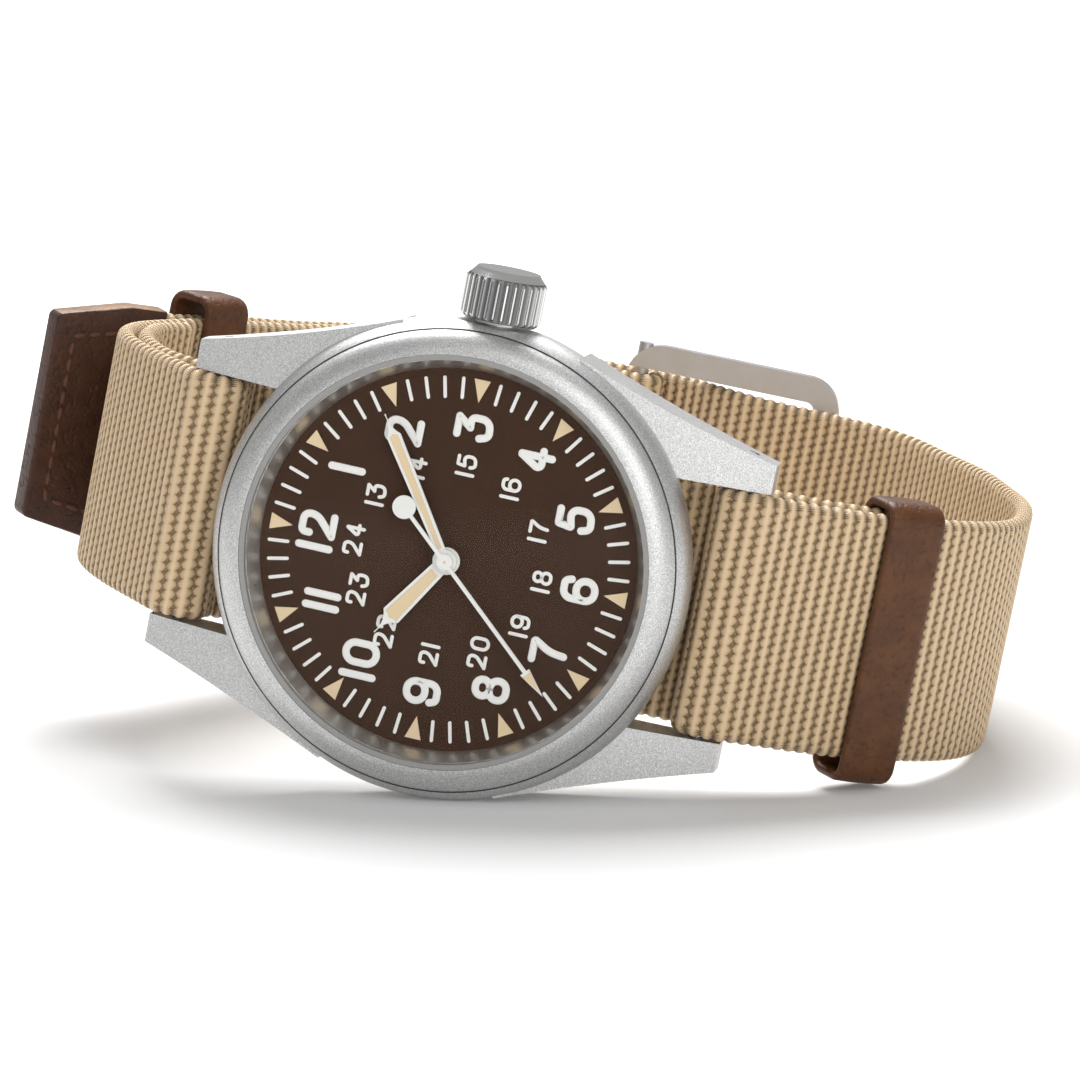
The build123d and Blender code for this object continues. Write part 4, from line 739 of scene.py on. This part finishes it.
def dial_numbers(name, first_number, radius, height, width, stroke, gap, print_height):
    """Twelve numbers on the dial, upright to 12 o'clock, as flattened round strokes."""
    curve = bpy.data.curves.new(name, "CURVE")
    curve.dimensions = "3D"
    curve.bevel_depth = stroke / 2
    curve.bevel_resolution = 3
    caps = []
    tall = height - stroke
    wide = width - stroke
    narrow = 0.02 * stroke
    for hour in range(1, 13):
        number = str(first_number - 1 + hour)
        centre_x = radius * sin(radians(30 * hour))
        centre_y = radius * cos(radians(30 * hour))
        widths = [narrow if digit == "1" else wide for digit in number]
        start = centre_x - (sum(widths) + (len(number) - 1) * (gap + stroke)) / 2
        for digit, cell in zip(number, widths):
            for form, places in strokes[digit]:
                points = [Vector((start + cell * a, centre_y + tall * (b - 0.5), 0)) for a, b in places]
                corners = sharp_corners.get(digit, {})
                if form == "ring":
                    line = rounded(points, len(points) * [None], per_arc=7, closed=True)[:-1]
                else:
                    radii = [corners.get(index) for index in range(1, len(points) - 1)]
                    radii = [None if radius is None else max(radius * stroke, 1e-3) for radius in radii]
                    line = rounded(points, radii, per_arc=7)
                    caps += [line[0], line[-1]]
                spline = curve.splines.new("POLY")
                spline.points.add(len(line) - 1)
                for point, place in zip(spline.points, line):
                    point.co = (*place, 1)
                spline.use_cyclic_u = form == "ring"
            start += cell + gap + stroke
    holder = bpy.data.objects.new(name, curve)
    tube = bpy.data.meshes.new_from_object(holder)
    bpy.data.objects.remove(holder)
    mesh = bmesh.new()
    mesh.from_mesh(tube)
    for cap in caps:
        ball = bmesh.ops.create_uvsphere(mesh, u_segments=16, v_segments=8, radius=stroke / 2)["verts"]
        bmesh.ops.translate(mesh, verts=ball, vec=cap)
    bmesh.ops.remove_doubles(mesh, verts=mesh.verts, dist=1e-5)
    bmesh.ops.scale(mesh, vec=(1, 1, 2 * print_height / stroke), verts=mesh.verts)
    settle(name, mesh, white_print)


white_print = print_paint("white_print", (0.95, 0.95, 0.93))
lume = print_paint("aged_lume", (0.87, 0.69, 0.455), 0.65)
dial_numbers("hour_numbers", 1, 10.6, 3.05, 2.15, 0.61, 0.38, 0.03)
dial_numbers("day_numbers", 13, 7.58, 1.60, 1.12, 0.285, 0.3, 0.02)

# Beige filling of the seconds hand's arrow
arrow_angle = radians(221.8)
arrow_radius = 0.5
arrow_stretch = (0.86, 2.3, 1)
arrow_thickness = 0.02
arrow_reach = 11.35
arrow_top = 1.30
arrow = bmesh.new()
bmesh.ops.create_cone(
    arrow, cap_ends=True, segments=3, radius1=arrow_radius, radius2=arrow_radius, depth=arrow_thickness
)
bmesh.ops.scale(arrow, vec=arrow_stretch, verts=arrow.verts)
bmesh.ops.translate(arrow, vec=(0, arrow_reach, arrow_top), verts=arrow.verts)
bmesh.ops.rotate(arrow, matrix=Matrix.Rotation(-arrow_angle, 3, "Z"), verts=arrow.verts)
settle("seconds_arrow_fill", arrow, lume, body="seconds", smooth=False)

# Thin dark joint between the bezel and the case
joint_radius = 18.08
joint_level = 0.90
joint_tube = 0.07
joint_ring = bmesh.new()
section = bmesh.ops.create_circle(joint_ring, segments=8, radius=joint_tube)["verts"]
bmesh.ops.rotate(joint_ring, matrix=Matrix.Rotation(pi / 2, 3, "X"), verts=section)
bmesh.ops.translate(joint_ring, vec=(joint_radius, 0, joint_level), verts=section)
bmesh.ops.spin(
    joint_ring, geom=joint_ring.verts[:] + joint_ring.edges[:], angle=2 * pi, steps=240,
    axis=(0, 0, 1), cent=(0, 0, 0), use_merge=True,
)
bmesh.ops.recalc_face_normals(joint_ring, faces=joint_ring.faces)
rubber = moulded("gasket_rubber", (0.03, 0.03, 0.03))
settle("bezel_joint", joint_ring, rubber)

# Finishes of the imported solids
steel = polished_steel()
movement_steel = grained_metal("movement_steel", (0.62, 0.62, 0.63))
finishes = {
    blasted_steel(): ("mid_case", "bezel"),
    fluted_steel(): ("crown",),
    polished_steel("flange_steel", (0.78, 0.755, 0.72), 0.34): ("inner_flange",),
    polished_steel("buckle_steel", (0.62, 0.63, 0.65), 0.30): ("buckle_frame", "buckle_tongue", "buckle_bar"),
    moulded("clear_gasket", (0.34, 0.335, 0.325)): ("crystal_gasket",),
    steel: (
        "case_back", "crown_tube",
        "spring_bars", "spring_bar_tip_1", "spring_bar_tip_2", "spring_bar_tip_3", "spring_bar_tip_4",
    ),
    movement_steel: (
        "winding_stem", "sliding_pinion", "winding_pinion", "crown_wheel", "ratchet_wheel", "barrel_arbor",
        "click", "bridge_screws", "pallet_fork", "mainspring", "hairspring", "cannon_pinion",
    ),
    grained_metal("plated_bridge", (0.66, 0.64, 0.60)): (
        "main_plate", "barrel_bridge", "train_bridge", "balance_cock", "fork_bridge",
    ),
    grained_metal("wheel_brass", (0.78, 0.58, 0.28), 0.2): (
        "mainspring_barrel", "barrel_cover", "centre_wheel", "third_wheel", "fourth_wheel",
        "escape_wheel", "minute_wheel", "hour_wheel", "balance_wheel",
    ),
    moulded("spacer_plastic", (0.72, 0.72, 0.69)): ("movement_ring",),
    rubber: ("back_gasket", "crown_gasket"),
    ruby(): ("jewels",),
    dial_paint(): ("dial",),
    white_print: ("minute_marks",),
    print_paint("hand_white", (0.93, 0.93, 0.91), 0.35): ("hour_hand", "minute_hand", "seconds_hand"),
    lume: ("lume_triangles", "hour_lume", "minute_lume"),
    crystal_glass(): ("crystal",),
}
for material, names in finishes.items():
    for name in names:
        node = frame["nodes"][name]
        node.data.materials.clear()
        node.data.materials.append(material)

# Camera: the photographed viewpoint, in the watch's own axes and millimetres
camera_right = Vector((0.1931, -0.9636, -0.1851))
camera_down = Vector((-0.9686, -0.2173, 0.1210))
camera_forward = Vector((-0.1568, 0.1559, -0.9752))
camera_place = Vector((65.63, -68.93, 388.58))
sensor_width = 36
focal_widths = 5154.5 / 1080
camera_data = bpy.data.cameras.new("photo_camera")
camera_data.sensor_width = sensor_width
camera_data.lens = sensor_width * focal_widths
camera_data.clip_start = 0.01
camera = bpy.data.objects.new("photo_camera", camera_data)
bpy.context.scene.collection.objects.link(camera)
look = Matrix((camera_right, -camera_down, -camera_forward)).transposed()
camera_turn = (watch_turn @ look).to_quaternion()
camera.matrix_world = Matrix.Translation(WATCH @ camera_place) @ camera_turn.to_matrix().to_4x4()
bpy.context.scene.camera = camera


# Floor, lamps and surroundings
def lamp(name, place, target, size, power):
    """Soft square lamp aimed at a target, in metres and watts."""
    data = bpy.data.lights.new(name, "AREA")
    data.size = size
    data.energy = power
    light = bpy.data.objects.new(name, data)
    bpy.context.scene.collection.objects.link(light)
    light.location = place
    light.rotation_euler = (Vector(target) - Vector(place)).to_track_quat("-Z", "Y").to_euler()


# The floor is lit by the lamps near the watch, and glows more and more white away from it
floor_glow = 0.07
far_glow = 0.75
glow_start = 0.12
glow_full = 0.40
floor_paper = (0.74, 0.74, 0.74)
floor_mesh = bmesh.new()
bmesh.ops.create_grid(floor_mesh, x_segments=1, y_segments=1, size=6.0)
floor_data = bpy.data.meshes.new("floor")
floor_mesh.to_mesh(floor_data)
floor_mesh.free()
floor = bpy.data.objects.new("floor", floor_data)
bpy.context.scene.collection.objects.link(floor)
floor_finish = Finish("floor_paper", base_color=floor_paper, roughness=1.0, specular_ior_level=0.0)
floor_finish.set("Emission Color", (1.0, 1.0, 1.0))
glow = floor_glow + far_glow * floor_finish.vector("LENGTH", floor_finish.place()).step(glow_start, glow_full)
floor_finish.set("Emission Strength", glow * floor_finish.seen_by("Camera", "Glossy", "Transmission"))
floor_data.materials.append(floor_finish.material)

# White surroundings, dimmer as a light than as a background
surround_light = 0.44
world = bpy.data.worlds.new("studio")
world.use_nodes = True
bpy.context.scene.world = world
studio = Nodes(world.node_tree)
surround = studio.tree.nodes["Background"].inputs
studio.feed(surround["Color"], (1, 1, 1))
brightness = surround_light + (1 - surround_light) * studio.seen_by("Camera", "Transmission")
studio.feed(surround["Strength"], brightness)

lamp_target = (0.0, -0.02, 0.02)
lamp("key_lamp", (-0.07, 0.19, 0.42), lamp_target, size=0.30, power=3.3)
lamp("fill_lamp", (0.26, -0.46, 0.24), lamp_target, size=0.40, power=1.2)

bpy.context.scene.view_settings.view_transform = "Standard"
